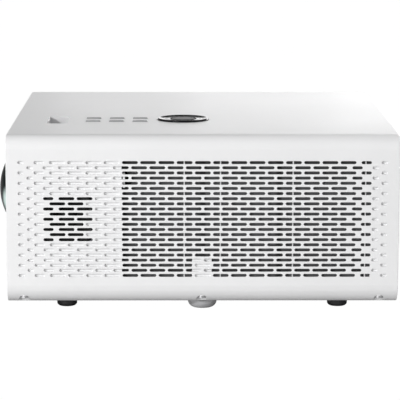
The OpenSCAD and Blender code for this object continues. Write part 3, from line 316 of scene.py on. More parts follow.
def outline(width, height, radius, a, b, qa, qb):
    """The points of a rounded box that belong to border(a, b): each corner's arc takes qa steps of
    the border along X and qb along Y, and the straight edges share the others evenly."""
    step, x, y = [], [], []
    for corner, start in enumerate((0, b, a + b, a + 2 * b)):
        before, after = (qa, qb) if corner % 2 == 0 else (qb, qa)
        middle = ((width / 2 - radius) * (1 if corner < 2 else -1),
                  (height / 2 - radius) * (1 if corner in (1, 2) else -1))
        turn = arc(*middle, radius, 90 * corner - 90, 90 * corner, before + after)
        step.append(np.arange(start - before, start + after + 1))
        x.append(turn[:, 0])
        y.append(turn[:, 1])
    at, around = np.arange(2 * (a + b)), 2 * (a + b)
    step = np.concatenate(step)
    return np.stack([np.interp(at, step, np.concatenate(v), period=around) for v in (x, y)], -1)


def holes(us, vs, i, j, length, rings):
    """The wall's surface inside blocks of cells, from a block's border through rings of (growth of
    the hole, depth) into it; a third number is the least u. Points are (block, ring, round, 3)."""
    across, up = border(CELLS, CELLS)
    edge = np.stack([us[i[:, None] + across], vs[j[:, None] + up]], -1)
    centre = np.stack([(us[i] + us[i + CELLS]) / 2, (vs[j] + vs[j + CELLS]) / 2], -1)[:, None]
    parts = [np.concatenate([edge, np.zeros_like(edge[..., :1])], -1)]
    for grow, depth, *least in rings:
        if grow is None:
            parts.append(np.concatenate([edge, np.full_like(edge[..., :1], depth)], -1))
            continue
        height = SLOT_HEIGHT + 2 * grow
        points = centre + outline(length + 2 * grow, height, height / 2, CELLS, CELLS, 1, 2)
        if least:
            points[..., 0] = np.maximum(points[..., 0], least[0])
        parts.append(np.concatenate([points, np.full_like(points[..., :1], depth)], -1))
    rings = np.stack(parts, 1)
    return np.concatenate([rings, rings[:, :, :1]], 2)


def cells_left(us, vs, blocks, depth):
    """Single quads of the grid that no block takes, as points (quad, 2, 2, (u, v, depth))."""
    free = np.ones((len(us) - 1, len(vs) - 1), bool)
    for i, j in blocks:
        free[i:i + CELLS, j:j + CELLS] = False
    i, j = (index[:, None, None] for index in np.nonzero(free))
    i, j = i + np.array([[0, 0], [1, 1]]), j + np.array([[0, 1], [0, 1]])
    return np.stack([us[i], vs[j], np.full(i.shape, depth)], -1)


def end_lip():
    """The path round the end of a wall: (distance beyond its last line, depth)."""
    outer = arc(0, EDGE, EDGE, -90, 0, 3)
    return np.concatenate([outer, np.stack([outer[::-1, 0], WALL - outer[::-1, 1]], -1)])


def slotted_side(name, node, outwards, first_row, is_open, edge=None, behind=()):
    """A side panel: the slot grid, its margins, rounded ends and plain back. In the slots that
    cross the line u = edge only the part past it is open, and the rest is a pocket. The sheets
    in `behind` are posts and blocks on its back."""
    low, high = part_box(node)
    surface = high.y if outwards > 0 else low.y
    us = CENTRE + PITCH / CELLS * np.arange(-CELLS * (COLUMNS + 0.5), CELLS * (COLUMNS + 0.5) + 1)
    us = np.concatenate([[low.x + EDGE], us, [high.x - EDGE]])
    rows = np.arange(first_row, ROWS)
    vs = FIRST_ROW + RISE * (first_row - 0.5) + RISE / CELLS * np.arange(CELLS * len(rows) + 1)
    vs = np.concatenate([[low.z], vs, [high.z]])

    def place(sheet):
        return np.stack([sheet[..., 0], surface - outwards * sheet[..., 2], sheet[..., 1]], -1)

    row, column = [], []
    for i in rows:
        shift = 0.5 * (i % 2)
        column.append(np.arange(-COLUMNS + shift, COLUMNS + 1 - shift))
        row.append(np.full(len(column[-1]), i))
    row, column = np.concatenate(row), np.concatenate(column)
    from_end = COLUMNS - abs(column)
    length = SLOT_LENGTH - np.select([from_end < 0.75, from_end < 1.75],
                                     [END_SLOT_SHORTER, NEXT_SLOT_SHORTER])
    i, j = np.rint(CELLS * (column + COLUMNS)).astype(int) + 1, CELLS * (row - first_row) + 1
    passes = is_open(row, column)
    split = np.full(len(i), False)
    if edge is not None:
        split = passes & (abs(CENTRE + column * PITCH - edge) < SLOT_LENGTH / 2)
    lips = [(LIP, 0), (LIP * 0.29, LIP * 0.29), (0, LIP)]
    kinds = ((~passes, [(0, POCKET), (-SLOT_HEIGHT / 2, POCKET)]),
             (passes & ~split, [(DRAFT, WALL), (None, WALL)]),
             (split, [(0, POCKET), (0, POCKET, edge), (DRAFT, WALL, edge), (None, WALL)]))
    sheets = []
    for size in np.unique(length):
        for kind, inside in kinds:
            here = kind & (length == size)
            if here.any():
                sheets.append(holes(us, vs, i[here], j[here], size, lips + inside))
    sheets.append(cells_left(us, vs, zip(i, j), 0.0))
    sheets.append(cells_left(us, vs, zip(i[passes], j[passes]), WALL))
    path = end_lip()
    for end, sign in ((us[-1], 1), (us[0], -1)):
        lip = np.stack([end + sign * path[:, 0], path[:, 1]], -1)
        grid = np.zeros((len(vs), len(lip), 3))
        grid[..., 0], grid[..., 1], grid[..., 2] = lip[:, 0], vs[:, None], lip[:, 1]
        sheets.append(grid)
        for v in (vs[0], vs[-1]):
            rim = np.stack([lip[:, 0], np.full(len(lip), v), lip[:, 1]], -1)
            sheets.append(np.stack([rim, np.where([True, False, False], end, rim)]))
    for v in (vs[0], vs[-1]):
        grid = np.zeros((len(us), len(path), 3))
        grid[..., 0], grid[..., 1], grid[..., 2] = us[:, None], v, path[:, 1]
        sheets.append(grid)
    sheets = [place(sheet) for sheet in sheets] + list(behind)
    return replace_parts(built(name, sheets, WHITE, "case"), node)


SPEAKER_ROW, SPEAKER_COLUMN, VENT_FROM, ROWS_BLOCKED = 11, -7.5, -4.6, 4


def near_open(row, column):
    """Slots over the loudspeaker and over the vent, but for the lowest middle ones, which have a
    screw block behind them."""
    speaker = (abs(row - SPEAKER_ROW) <= 4) & (abs(column - SPEAKER_COLUMN) <= 1)
    vent = (column > VENT_FROM) & (column < COLUMNS - 0.9)
    return speaker | vent & ~((row < ROWS_BLOCKED) & (column == 0))


def placed(points, centre, axis="z"):
    """Points (u, v, w) stood up with w along an axis, from a centre."""
    u, v, w = points[..., 0], points[..., 1], points[..., 2]
    order = {"x": (w, u, v), "y": (u, w, v), "z": (u, v, w)}[axis]
    return np.stack(order, -1) + np.asarray(centre, float)


def stacked(levels, centre, axis="z"):
    """A boxy piece built up in levels of (width, depth, corner radius, height): each is a rounded
    rectangle of 28 points, and the first and the last close to their middle."""
    rings = []
    for width, depth, radius, height in levels:
        ring = outline(width, depth, radius, 7, 7, 3, 3)
        rings.append(np.concatenate([ring, np.full((len(ring), 1), height)], 1))
    rings = np.stack([rings[0] * (0, 0, 1), *rings, rings[-1] * (0, 0, 1)])
    return placed(np.concatenate([rings, rings[:, :1]], 1), centre, axis)


def turned(profile, centre, axis="z", steps=64):
    """A profile of (radius, height) points carried round an axis: (r cos a, r sin a, h)."""
    profile = np.asarray(profile, float)
    angle = np.linspace(0, 2 * np.pi, steps + 1)[:, None]
    sheet = np.stack([profile[:, 0] * np.cos(angle), profile[:, 0] * np.sin(angle),
                      profile[:, 1] + 0 * angle], -1)
    sheet[-1] = sheet[0]
    return placed(sheet, centre, axis)


SINK, BORE, BORE_DEEP, BLOCK_W, BLOCK_H = 0.0001, 0.003, 0.016, 0.0127, 0.018


def screw_block(x, outwards, node):
    """A bored block on the back of a side panel, which a case screw is driven up into: from the
    top of its bore down, round its mouth and up its sides. It sinks a little into the wall."""
    low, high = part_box(node)
    face = high.y if outwards > 0 else low.y
    depth = high.y - low.y - WALL + SINK
    middle = (x, face - outwards * (WALL - SINK + depth / 2), low.z)
    return stacked([(BORE, BORE, BORE / 2, BORE_DEEP), (BORE, BORE, BORE / 2, 0),
                    (BLOCK_W - 0.0006, depth, 0.0003, 0), (BLOCK_W, depth, 0.0005, 0.0003),
                    (BLOCK_W, depth, 0.0005, BLOCK_H - 0.0003),
                    (BLOCK_W - 0.0006, depth - 0.0006, 0.0003, BLOCK_H)], middle)


VENT_EDGE = CENTRE - 4.4 * PITCH - 0.0008
WELLS = (-0.1089, 0.0048, 0.1186)
POST_W, POST_H, POST_OUT, POST_Z = 0.0013, 0.0097, 0.006, 0.0856
FAR_FIRST_ROW, FAR_OPEN = 6, 6.2
post = stacked([(POST_W, POST_H, 0.0006, -SINK), (POST_W, POST_H, 0.0006, POST_OUT - 0.0002),
                (POST_W - 0.0004, POST_H - 0.0004, 0.0004, POST_OUT)],
               (VENT_EDGE + 0.0014, near_low.y + WALL, POST_Z), "y")
slotted_side("near_grille", "near_side_panel", -1, 0, near_open, VENT_EDGE,
             [post] + [screw_block(x, -1, "near_side_panel") for x in WELLS])
slotted_side("far_grille", "far_side_panel", 1, FAR_FIRST_ROW,
             lambda row, column: abs(column) < FAR_OPEN,
             behind=[screw_block(x, 1, "far_side_panel") for x in WELLS[::2]])

# ---------------------------------------------------------------- case mouldings
# The tub, the lid and the two end panels are white mouldings held by five screws. Their edges
# are softened, but not where they meet a side panel, because no seam shows there.

MERGED, ON_PLANE, FLAT, BENT = 2e-6, 1e-5, math.radians(0.2), math.radians(30)


def softened(node, made, radius=0.0003, steps=2, kept=(), second=None):
    """A CAD piece with rounded edges: a merged copy of its mesh whose bent edges are bevelled, but
    for those that lie in a kept plane (axis, value). Faces past a plane (axis, value, side) can
    have a second material."""
    source = frame["nodes"][node]
    mesh = source.data.copy()
    mesh.name = node + "_soft"
    if "custom_normal" in mesh.attributes:
        mesh.attributes.remove(mesh.attributes["custom_normal"])
    shaped = bmesh.new()
    shaped.from_mesh(mesh)
    bmesh.ops.remove_doubles(shaped, verts=shaped.verts, dist=MERGED)
    bmesh.ops.dissolve_limit(shaped, angle_limit=FLAT, verts=shaped.verts, edges=shaped.edges)
    edges = [edge for edge in shaped.edges if edge.is_manifold and edge.calc_face_angle() > BENT
             and not any(all(abs(end.co[axis] - value) < ON_PLANE for end in edge.verts)
                         for axis, value in kept)]
    bmesh.ops.bevel(shaped, geom=edges, offset=radius, offset_type="OFFSET", segments=steps,
                    profile=0.5, affect="EDGES", clamp_overlap=False)
    shaped.to_mesh(mesh)
    shaped.free()
    mesh.materials.clear()
    mesh.materials.append(made)
    if second:
        other, axis, value, side = second
        mesh.materials.append(other)
        middles = np.empty(len(mesh.polygons) * 3)
        mesh.polygons.foreach_get("center", middles)
        past = side * (middles.reshape(-1, 3)[:, axis] - value) > 0
        mesh.polygons.foreach_set("material_index", past.astype(np.int32))
    piece = finished(mesh.name, mesh, source["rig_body"], sharp=40)
    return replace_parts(piece, node)


LOW_SEAM, HIGH_SEAM, FAR_SEAM = near_low.z, near_high.z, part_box("far_side_panel")[0].z
softened("lower_case", WHITE, 0.0004, 3, kept=[(2, LOW_SEAM), (2, FAR_SEAM)])
softened("top_cover", WHITE, 0.0005, 3, kept=[(2, HIGH_SEAM)])
softened("front_panel", WHITE, 0.0003)
softened("rear_panel", WHITE, 0.0003)
IR_RED = plastic("dark_red_window", (0.012, 0.002, 0.002), (0.006, 0.001, 0.001), 0.08, 0.16,
                 0.002, 0.000002)
softened("ir_window", IR_RED, 0.0002)

# ---------------------------------------------------------------- screws and feet
# Five cross-head screws stand in wells of the tub. Four black rubber feet are pegged into it, and
# a grey thumb wheel on a threaded stud, which turns on its own small pad, lifts the vented side.


def lines_group():
    """Fine drawn lines: a noise that is drawn out along the short numbers of `Draw`, and a
    roughness that follows it between two values."""
    usual = {"Draw": (1, 1, 1), "Scale": 800, "Smoothest": 0.3, "Roughest": 0.4}
    group, given, out = new_group("drawn_lines", usual, ("Lines", "Roughness"))
    place, draw, noise, rough = laid(group, "TexCoord", "Mapping", "TexNoise", "MapRange")
    noise.inputs["Detail"].default_value = 4
    links = group.links
    links.new(place.outputs["Object"], draw.inputs["Vector"])
    links.new(given.outputs["Draw"], draw.inputs["Scale"])
    links.new(draw.outputs["Vector"], noise.inputs["Vector"])
    links.new(given.outputs["Scale"], noise.inputs["Scale"])
    links.new(given.outputs["Smoothest"], rough.inputs["To Min"])
    links.new(given.outputs["Roughest"], rough.inputs["To Max"])
    for taker in (rough.inputs["Value"], out.inputs["Lines"]):
        links.new(noise.outputs["Fac"], taker)
    links.new(rough.outputs[0], out.inputs["Roughness"])
    return group


LINES = lines_group()


def metal(name, light, dark, smoothest, roughest, drawn=(1, 1, 1), size=0.0012):
    """Metal whose colour, roughness and faint bump vary with fine lines of a size in metres."""
    made, tree, shader = material(name)
    links = tree.links
    fine = effect(tree, LINES, Draw=drawn, Scale=1 / size, Smoothest=smoothest, Roughest=roughest)
    ramp, bump = laid(tree, "ValToRGB", "Bump")
    for stop, colour in zip(ramp.color_ramp.elements, (dark, light)):
        stop.color = (*colour, 1)
    bump.inputs["Distance"].default_value = 0.000003
    links.new(fine.outputs["Lines"], ramp.inputs["Fac"])
    links.new(ramp.outputs["Color"], shader.inputs["Base Color"])
    links.new(fine.outputs["Roughness"], shader.inputs["Roughness"])
    links.new(fine.outputs["Lines"], bump.inputs["Height"])
    links.new(bump.outputs["Normal"], shader.inputs["Normal"])
    shader.inputs["Metallic"].default_value = 1.0
    return made


def eased(points, cut, steps=4):
    """A closed outline with eased corners: each corner becomes a parabola between the points that
    lie `cut` before and after it."""
    points = np.asarray(points, float)
    before, after = np.roll(points, 1, 0) - points, np.roll(points, -1, 0) - points
    long = [np.maximum(np.linalg.norm(way, axis=1), 1e-9) for way in (before, after)]
    cut = np.minimum(np.broadcast_to(cut, len(points)), 0.45 * np.minimum(*long))[:, None]
    start = (points + before / long[0][:, None] * cut)[:, None]
    end = (points + after / long[1][:, None] * cut)[:, None]
    t = np.linspace(0, 1, steps + 1)[None, :, None]
    curve = (1 - t) ** 2 * start + 2 * t * (1 - t) * points[:, None] + t ** 2 * end
    curve = curve.reshape(-1, 2)
    return np.concatenate([curve, curve[:1]])


def threaded(radius, depth, pitch, low, high, centre):
    """An upright rod with a thread: its radius falls by `depth` in a wave of the height over the
    pitch less the angle in turns, and its ends close to the axis."""
    height = np.linspace(low, high, int((high - low) / pitch * 6) + 1)[None, :]
    turn = np.linspace(0, 1, 25)[:, None]
    wave = 0.5 - 0.5 * np.cos(2 * np.pi * (height / pitch - turn))
    fade = np.clip(np.minimum(height - low, high - height) / pitch, 0, 1)
    r = radius - depth * (1 - fade * (1 - wave))
    r[:, 0], r[:, -1] = 0, 0
    angle = 2 * np.pi * turn
    sheet = np.stack([r * np.cos(angle), r * np.sin(angle), height + 0 * turn], -1)
    sheet[-1] = sheet[0]
    return placed(sheet, centre)


RUBBER = plastic("black_rubber_moulding", (0.022, 0.022, 0.023), (0.014, 0.014, 0.015), 0.55, 0.75,
                 0.0003, 0.00002)
MID_GREY = plastic("mid_grey_plastic", (0.45, 0.45, 0.46), (0.4, 0.4, 0.41), 0.3, 0.42)
STEEL = metal("plated_steel", (0.72, 0.72, 0.74), (0.55, 0.55, 0.57), 0.22, 0.38)
ZINC = metal("matt_zinc", (0.62, 0.62, 0.63), (0.5, 0.5, 0.51), 0.45, 0.6)
softened("case_screws", ZINC, 0.00015)

low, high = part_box("rubber_feet")
FOOT_R, PEG_R, FOOT_TOP, PEG_TOP = 0.0065, 0.0025, LOW_SEAM - 0.012, high.z
foot = eased([(0, 0.0004), (0.003, 0.0004), (0.0034, 0), (0.0052, 0), (FOOT_R, 0.0012),
              (FOOT_R, FOOT_TOP), (PEG_R, FOOT_TOP), (PEG_R, PEG_TOP), (0, PEG_TOP)],
             [0, 0.0002, 0.0002, 0.0006, 0.0007, 0.0003, 0, 0.0003, 0])
foot_x, foot_y = (low.x + FOOT_R, high.x - FOOT_R), (low.y + FOOT_R, high.y - FOOT_R)
feet = [turned(foot, (x, y, 0)) for x in foot_x for y in foot_y]
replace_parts(built("rubber_foot_set", feet, RUBBER, "case"), "rubber_feet")

low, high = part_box("foot_screw")
FOOT_AXIS = ((low.x + high.x) / 2, (low.y + high.y) / 2, 0)
WHEEL_R, WHEEL_TOP = (high.x - low.x) / 2, FOOT_TOP - 0.0003
WELL_R, WELL_TOP, PIN_R, STUD_R = 0.0044, 0.0044, 0.0015, 0.00295
wheel = eased([(PIN_R, WELL_TOP), (WELL_R, WELL_TOP), (WELL_R, low.z), (0.0062, low.z),
               (0.0077, 0.0011), (0.0087, 0.0023), (WHEEL_R, 0.0037), (WHEEL_R, WHEEL_TOP),
               (PIN_R, WHEEL_TOP)],
              [0, 0.0002, 0.0002, 0.0004, 0.0006, 0.0006, 0.0005, 0.0002, 0])
stud = threaded(STUD_R, 0.0005, 0.001, WHEEL_TOP - 0.0002, high.z, FOOT_AXIS)
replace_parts(built("levelling_foot", [turned(wheel, FOOT_AXIS, steps=96), stud],
                  MID_GREY, "foot_screw"), "foot_screw")
pad_r, pad_thick, pin_top = WELL_R - 0.00005, 0.0012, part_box("foot_pad")[1].z
pad = eased([(0, 0), (pad_r, 0), (pad_r, pad_thick), (PIN_R, pad_thick), (PIN_R, pin_top),
             (0, pin_top)], [0, 0.0003, 0.0003, 0.0002, 0.0002, 0])
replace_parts(built("levelling_pad", [turned(pad, FOOT_AXIS)], RUBBER, "foot_pad"),
            "foot_pad")

# ---------------------------------------------------------------- dust filter
# A charcoal net in a white frame stands right behind the vent. Painted shade darkens it in fields:
# the shade of the fans and gaps behind it, and the frame's shadow along its top and bottom rows.


def net(name, light, pitch, across, upwards):
    """A net: round holes on a grid, painted near black for the shade seen through them. The thread's
    brightness, which is painted shade, is the product of two rows of (place, brightness), one across and
    one upwards, and changes evenly from place to place."""
    made, tree, shader = material(name)
    links = tree.links
    place, cells, split, hole = laid(tree, "TexCoord", "TexVoronoi", "SeparateXYZ", "ValToRGB")
    thread, mixed, bump = laid(tree, "Mix", "Mix", "Bump")
    cells.inputs["Scale"].default_value = 1 / pitch
    cells.inputs["Randomness"].default_value = 0.15
    links.new(place.outputs["Object"], cells.inputs["Vector"])
    links.new(place.outputs["Object"], split.inputs[0])
    hole.color_ramp.elements[0].position, hole.color_ramp.elements[1].position = 0.28, 0.42
    thread.data_type, thread.blend_type = "RGBA", "MULTIPLY"
    thread.inputs[0].default_value = 1
    for axis, stops, colour, taker in (("X", across, light, 6), ("Z", upwards, (1, 1, 1), 7)):
        start, end = stops[0][0], stops[-1][0]
        along, shade_band = laid(tree, "MapRange", "ValToRGB")
        along.inputs["From Min"].default_value, along.inputs["From Max"].default_value = start, end
        for at, _ in stops[1:-1]:
            shade_band.color_ramp.elements.new((at - start) / (end - start))
        for stop, (_, level) in zip(shade_band.color_ramp.elements, stops):
            stop.color = (*(level * part for part in colour), 1)
        links.new(split.outputs[axis], along.inputs["Value"])
        links.new(along.outputs[0], shade_band.inputs["Fac"])
        links.new(shade_band.outputs["Color"], thread.inputs[taker])
    mixed.data_type = "RGBA"
    # Painted shade: the holes are near black, for the shade seen through them
    mixed.inputs[6].default_value = (0.006, 0.006, 0.006, 1)
    bump.inputs["Distance"].default_value = 0.0002
    links.new(cells.outputs["Distance"], hole.inputs["Fac"])
    links.new(hole.outputs["Color"], mixed.inputs[0])
    links.new(thread.outputs[2], mixed.inputs[7])
    links.new(mixed.outputs[2], shader.inputs["Base Color"])
    links.new(hole.outputs["Color"], bump.inputs["Height"])
    links.new(bump.outputs["Normal"], shader.inputs["Normal"])
    shader.inputs["Roughness"].default_value = 0.8
    return made


# Painted shade: the net darkens across it where fans and gaps lie behind, and upwards in the frame's shadow
# on its top and bottom rows
PAINTED_SHADE_ACROSS = [(-0.048, 0.1), (-0.044, 0.2), (-0.0395, 0.75), (-0.034, 1), (0.0025, 0.9),
          (0.0045, 0.25), (0.0065, 0.25), (0.0075, 1), (0.051, 1), (0.053, 0.25), (0.055, 0.25),
          (0.056, 0.9), (0.118, 1)]
PAINTED_SHADE_UPWARDS = [(FIRST_ROW + row * RISE, level) for row, level in (
    (0.5, 1), (0.6, 0.4), (1.4, 0.4), (1.6, 0.9), (18, 1), (20.5, 0.75), (21.6, 0.7), (21.7, 0.4),
    (22.5, 0.4))]
NET = net("charcoal_net_painted_shade", (0.125, 0.125, 0.13), 0.0007, PAINTED_SHADE_ACROSS, PAINTED_SHADE_UPWARDS)
softened("dust_filter", NET, 0.0002, 1)
softened("filter_frame", WHITE, 0.0002)

# ---------------------------------------------------------------- keys and dial
# Six slim grey caps stand through the lid in two rows, each on a stem over a switch. Beside them
# a polished black ring tilts four ways round a dark grey button.


KEY_GREY = plastic("grey_key_cap", (0.36, 0.36, 0.37), (0.31, 0.31, 0.32), 0.28, 0.4)
KEY_L, KEY_W, FLANGE, FLANGE_T, ROOF_GAP = 0.0097, 0.004, 0.0009, 0.0016, 0.0003
DIAL_PROUD = 0.0013
LID_TOP = cad_high.z - DIAL_PROUD
low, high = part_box("power_key")
FLANGE_TOP = LID_TOP - WALL - ROOF_GAP
FLANGE_LOW = FLANGE_TOP - FLANGE_T
cap = [(KEY_L + 2 * FLANGE, KEY_W + 2 * FLANGE, 0.0008, FLANGE_LOW),
       (KEY_L + 2 * FLANGE, KEY_W + 2 * FLANGE, 0.0008, FLANGE_TOP)]
cap += [(KEY_L - less, KEY_W - less, radius, height) for less, radius, height in (
    (0, 0.0007, FLANGE_TOP), (0, 0.0007, high.z - 0.0005), (0.0001, 0.0007, high.z - 0.00035),
    (0.0004, 0.0006, high.z - 0.00016), (0.0008, 0.0004, high.z - 0.00008))]
cap += [(KEY_L * 0.5, KEY_W * 0.4, 0.0002, high.z)]
STEM_R, stem_top = 0.0015, FLANGE_LOW + 0.0001
stem = eased([(0, low.z), (STEM_R, low.z), (STEM_R, stem_top), (0, stem_top)], [0, 0.0003, 0, 0])
for name in ("power", "source", "menu", "eject", "play", "volume"):
    low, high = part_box(name + "_key")
    middle = ((low.x + high.x) / 2, (low.y + high.y) / 2, 0)
    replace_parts(built(name + "_key_cap", [stacked(cap, middle), turned(stem, middle, steps=24)],
                      KEY_GREY, name + "_key"), name + "_key")

GLOSS_BLACK = plastic("polished_black", (0.008, 0.008, 0.009), (0.006, 0.006, 0.007), 0.05, 0.09,
                      0.003, 0.000001)
BUTTON_GREY = plastic("dark_grey_button", (0.035, 0.035, 0.037), (0.028, 0.028, 0.03), 0.3, 0.38)
for made, level in ((GLOSS_BLACK, 0.12), (BUTTON_GREY, 0.02)):
    shader = made.node_tree.nodes["Principled BSDF"]
    shader.inputs["Specular IOR Level"].default_value = level
low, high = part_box("dial_ring")
DIAL = ((low.x + high.x) / 2, (low.y + high.y) / 2, 0)
DIAL_R, DIAL_IN, TOP = (high.x - low.x) / 2, 0.0086, high.z
ring = eased([(DIAL_IN, low.z), (DIAL_R, low.z), (DIAL_R, TOP - 0.0006), (DIAL_R - 0.0007, TOP),
              (0.0132, TOP - 0.0011), (0.0095, TOP - 0.0006), (DIAL_IN, TOP - 0.0011)],
             [0.0003, 0.0003, 0.0004, 0.0005, 0.0026, 0.0007, 0.0003], 6)
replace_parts(built("dial_rim", [turned(ring, DIAL, steps=128)], GLOSS_BLACK, "dial_ring"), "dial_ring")
softened("dial_boot", RUBBER, 0.0003)
softened("ok_button", BUTTON_GREY, 0.0003, 3)


def tracks_group():
    """A circuit board's pattern in two masks, square tracks and small round dots, so many of each
    to a metre."""
    usual = {"Tracks": 260, "Dots": 420}
    group, given, out = new_group("board_tracks", usual, ("Tracks", "Dots"))
    place, tracks, dots, tinned = laid(group, "TexCoord", "TexVoronoi", "TexVoronoi", "ValToRGB")
    tracks.distance, tracks.feature = "CHEBYCHEV", "F2"
    tinned.color_ramp.elements[0].position, tinned.color_ramp.elements[1].position = 0.1, 0.13
    links = group.links
    for pattern, count in ((tracks, "Tracks"), (dots, "Dots")):
        links.new(place.outputs["Object"], pattern.inputs["Vector"])
        links.new(given.outputs[count], pattern.inputs["Scale"])
    links.new(dots.outputs["Distance"], tinned.inputs["Fac"])
    links.new(tracks.outputs["Distance"], out.inputs["Tracks"])
    links.new(tinned.outputs["Color"], out.inputs["Dots"])
    return group


TRACKS = tracks_group()


def board(name, light, dark, pad):
    """A circuit board: lacquer in two tones along square tracks, with small tinned dots."""
    made, tree, shader = material(name)
    links = tree.links
    pattern = effect(tree, TRACKS, Tracks=260, Dots=420)
    lacquer, mixed, bump = laid(tree, "ValToRGB", "Mix", "Bump")
    lacquer.color_ramp.interpolation = "CONSTANT"
    for stop, at, colour in zip(lacquer.color_ramp.elements, (0, 0.62), (dark, light)):
        stop.position, stop.color = at, (*colour, 1)
    mixed.data_type = "RGBA"
    mixed.inputs[6].default_value = (*pad, 1)
    bump.inputs["Distance"].default_value = 0.00003
    links.new(pattern.outputs["Tracks"], lacquer.inputs["Fac"])
    links.new(pattern.outputs["Dots"], mixed.inputs[0])
    links.new(lacquer.outputs["Color"], mixed.inputs[7])
    links.new(mixed.outputs[2], shader.inputs["Base Color"])
    links.new(pattern.outputs["Tracks"], bump.inputs["Height"])
    links.new(bump.outputs["Normal"], shader.inputs["Normal"])
    shader.inputs["Roughness"].default_value = 0.3
    return made


GREEN_BOARD = board("green_lacquer", (0.02, 0.13, 0.05), (0.012, 0.085, 0.032), (0.55, 0.55, 0.5))
CHIP = plastic("black_chip", (0.02, 0.02, 0.021), (0.014, 0.014, 0.015), 0.35, 0.5)
BOARD_T = 0.0016
chips_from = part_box("key_board")[0].z + BOARD_T + 0.00005
softened("key_board", GREEN_BOARD, 0.0001, 1, second=(CHIP, 2, chips_from, 1))

# ---------------------------------------------------------------- lens
# A black barrel with grooves against stray light holds a coated front glass that bulges out of
# the case, and a smaller glass at its back. A ribbed ring in the lid's window moves it.


def smear_group():
    """A faint smear on glass: a roughness that a slow noise moves between two values."""
    usual = {"Smoothest": 0.0, "Roughest": 0.03}
    group, given, out = new_group("glass_smear", usual, ("Roughness",))
    place, smear, rough = laid(group, "TexCoord", "TexNoise", "MapRange")
    smear.inputs["Scale"].default_value = 60
    links = group.links
    links.new(place.outputs["Object"], smear.inputs["Vector"])
    links.new(smear.outputs["Fac"], rough.inputs["Value"])
    links.new(given.outputs["Smoothest"], rough.inputs["To Min"])
    links.new(given.outputs["Roughest"], rough.inputs["To Max"])
    links.new(rough.outputs[0], out.inputs["Roughness"])
    return group


SMEAR = smear_group()


def glass(name):
    """Clear glass with a faint smear."""
    made, tree, shader = material(name)
    smear = effect(tree, SMEAR, Smoothest=0.0, Roughest=0.03)
    tree.links.new(smear.outputs["Roughness"], shader.inputs["Roughness"])
    shader.inputs["Base Color"].default_value = (0.97, 0.99, 1.0, 1)
    shader.inputs["Transmission Weight"].default_value = 1.0
    shader.inputs["IOR"].default_value = 1.5
    return made


LENS_BLACK = plastic("lens_barrel_black", (0.012, 0.012, 0.013), (0.008, 0.008, 0.009), 0.25, 0.36)
low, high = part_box("lens_barrel")
LENS = (0, (low.y + high.y) / 2, (low.z + high.z) / 2)
BARREL_R, FRONT, BACK = (high.y - low.y) / 2, low.x, high.x
low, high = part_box("lens_glasses")
APEX, GLASS_R, REAR = low.x, (high.y - low.y) / 2, high.x
LEDGE, IN_R = FRONT + 0.0043, GLASS_R + 0.0003
STEP_R, REAR_R, LIP_IN = IN_R - 0.0022, IN_R - 0.0026, 0.0026
GROOVES, GROOVE_PITCH, GROOVE_DEEP = 32, 0.0009, 0.0008
step = np.arange(GROOVES)
groove = np.stack([np.where(step % 2, STEP_R, STEP_R + GROOVE_DEEP),
                   LEDGE + 0.004 + step * GROOVE_PITCH], -1)
outer = eased([(IN_R, FRONT), (BARREL_R, FRONT), (BARREL_R, BACK), (REAR_R - LIP_IN, BACK),
               (REAR_R - LIP_IN, REAR), (STEP_R, REAR), (STEP_R, LEDGE), (IN_R, LEDGE)],
              [0.0006, 0.0008, 0.0006, 0.0004, 0.0003, 0, 0, 0.0002])
inner_end = int(np.argmin(np.abs(outer - (STEP_R, LEDGE)).sum(1)))
barrel = np.concatenate([outer[:inner_end], groove[::-1], outer[inner_end:]])
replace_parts(built("lens_tube", [turned(barrel, LENS, "x", steps=128)], LENS_BLACK, "lens"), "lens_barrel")

DOME, HOLLOW, BULGE, REAR_DEEP = 0.0395, 0.055, 0.06, 0.006
half = math.degrees(math.asin(GLASS_R / DOME))
dome = arc(0, APEX + DOME, DOME, -90, -90 + half, 24)
hollow_half = math.asin((GLASS_R - 0.003) / HOLLOW)
inside = arc(0, LEDGE - 0.0004 + HOLLOW * math.cos(hollow_half), HOLLOW,
             -90 + math.degrees(hollow_half), -90, 16)
front = np.concatenate([dome, [(GLASS_R, LEDGE - 0.0002), (GLASS_R - 0.0002, LEDGE)], inside])
half = math.degrees(math.asin(REAR_R / BULGE))
bulge = arc(0, REAR - REAR_DEEP + BULGE, BULGE, -90, -90 + half, 16)
back = np.concatenate([bulge, [(REAR_R, REAR - 0.0002), (REAR_R - 0.0002, REAR), (0, REAR)]])


def coated_glass(name, centre, reach):
    """Dark coated glass with a painted reflection: a soft ball of mint, painted into its colour where its
    rim meets the light low down. Its share falls with the distance from a centre, counted in `reach` along
    each axis."""
    made, tree, shader = material(name)
    links = tree.links
    place, away, ball, painted_sheen = laid(tree, "TexCoord", "Mapping", "TexGradient", "ValToRGB")
    away.inputs["Scale"].default_value = [1 / value for value in reach]
    away.inputs["Location"].default_value = [-at / value for at, value in zip(centre, reach)]
    ball.gradient_type = "SPHERICAL"
    painted_sheen.color_ramp.interpolation = "EASE"
    painted_sheen.color_ramp.elements[0].color = (0.004, 0.007, 0.0065, 1)
    painted_sheen.color_ramp.elements[1].color = (0.82, 1.0, 0.95, 1)
    painted_sheen.color_ramp.elements[1].position = 0.8
    smear = effect(tree, SMEAR, Smoothest=0.01, Roughest=0.05)
    links.new(place.outputs["Object"], away.inputs["Vector"])
    links.new(away.outputs["Vector"], ball.inputs["Vector"])
    links.new(ball.outputs["Fac"], painted_sheen.inputs["Fac"])
    links.new(painted_sheen.outputs["Color"], shader.inputs["Base Color"])
    links.new(smear.outputs["Roughness"], shader.inputs["Roughness"])
    shader.inputs["Transmission Weight"].default_value = 0.25
    shader.inputs["Specular IOR Level"].default_value = 0.04
    shader.inputs["Specular Tint"].default_value = (0.6, 1.0, 0.9, 1)
    return made


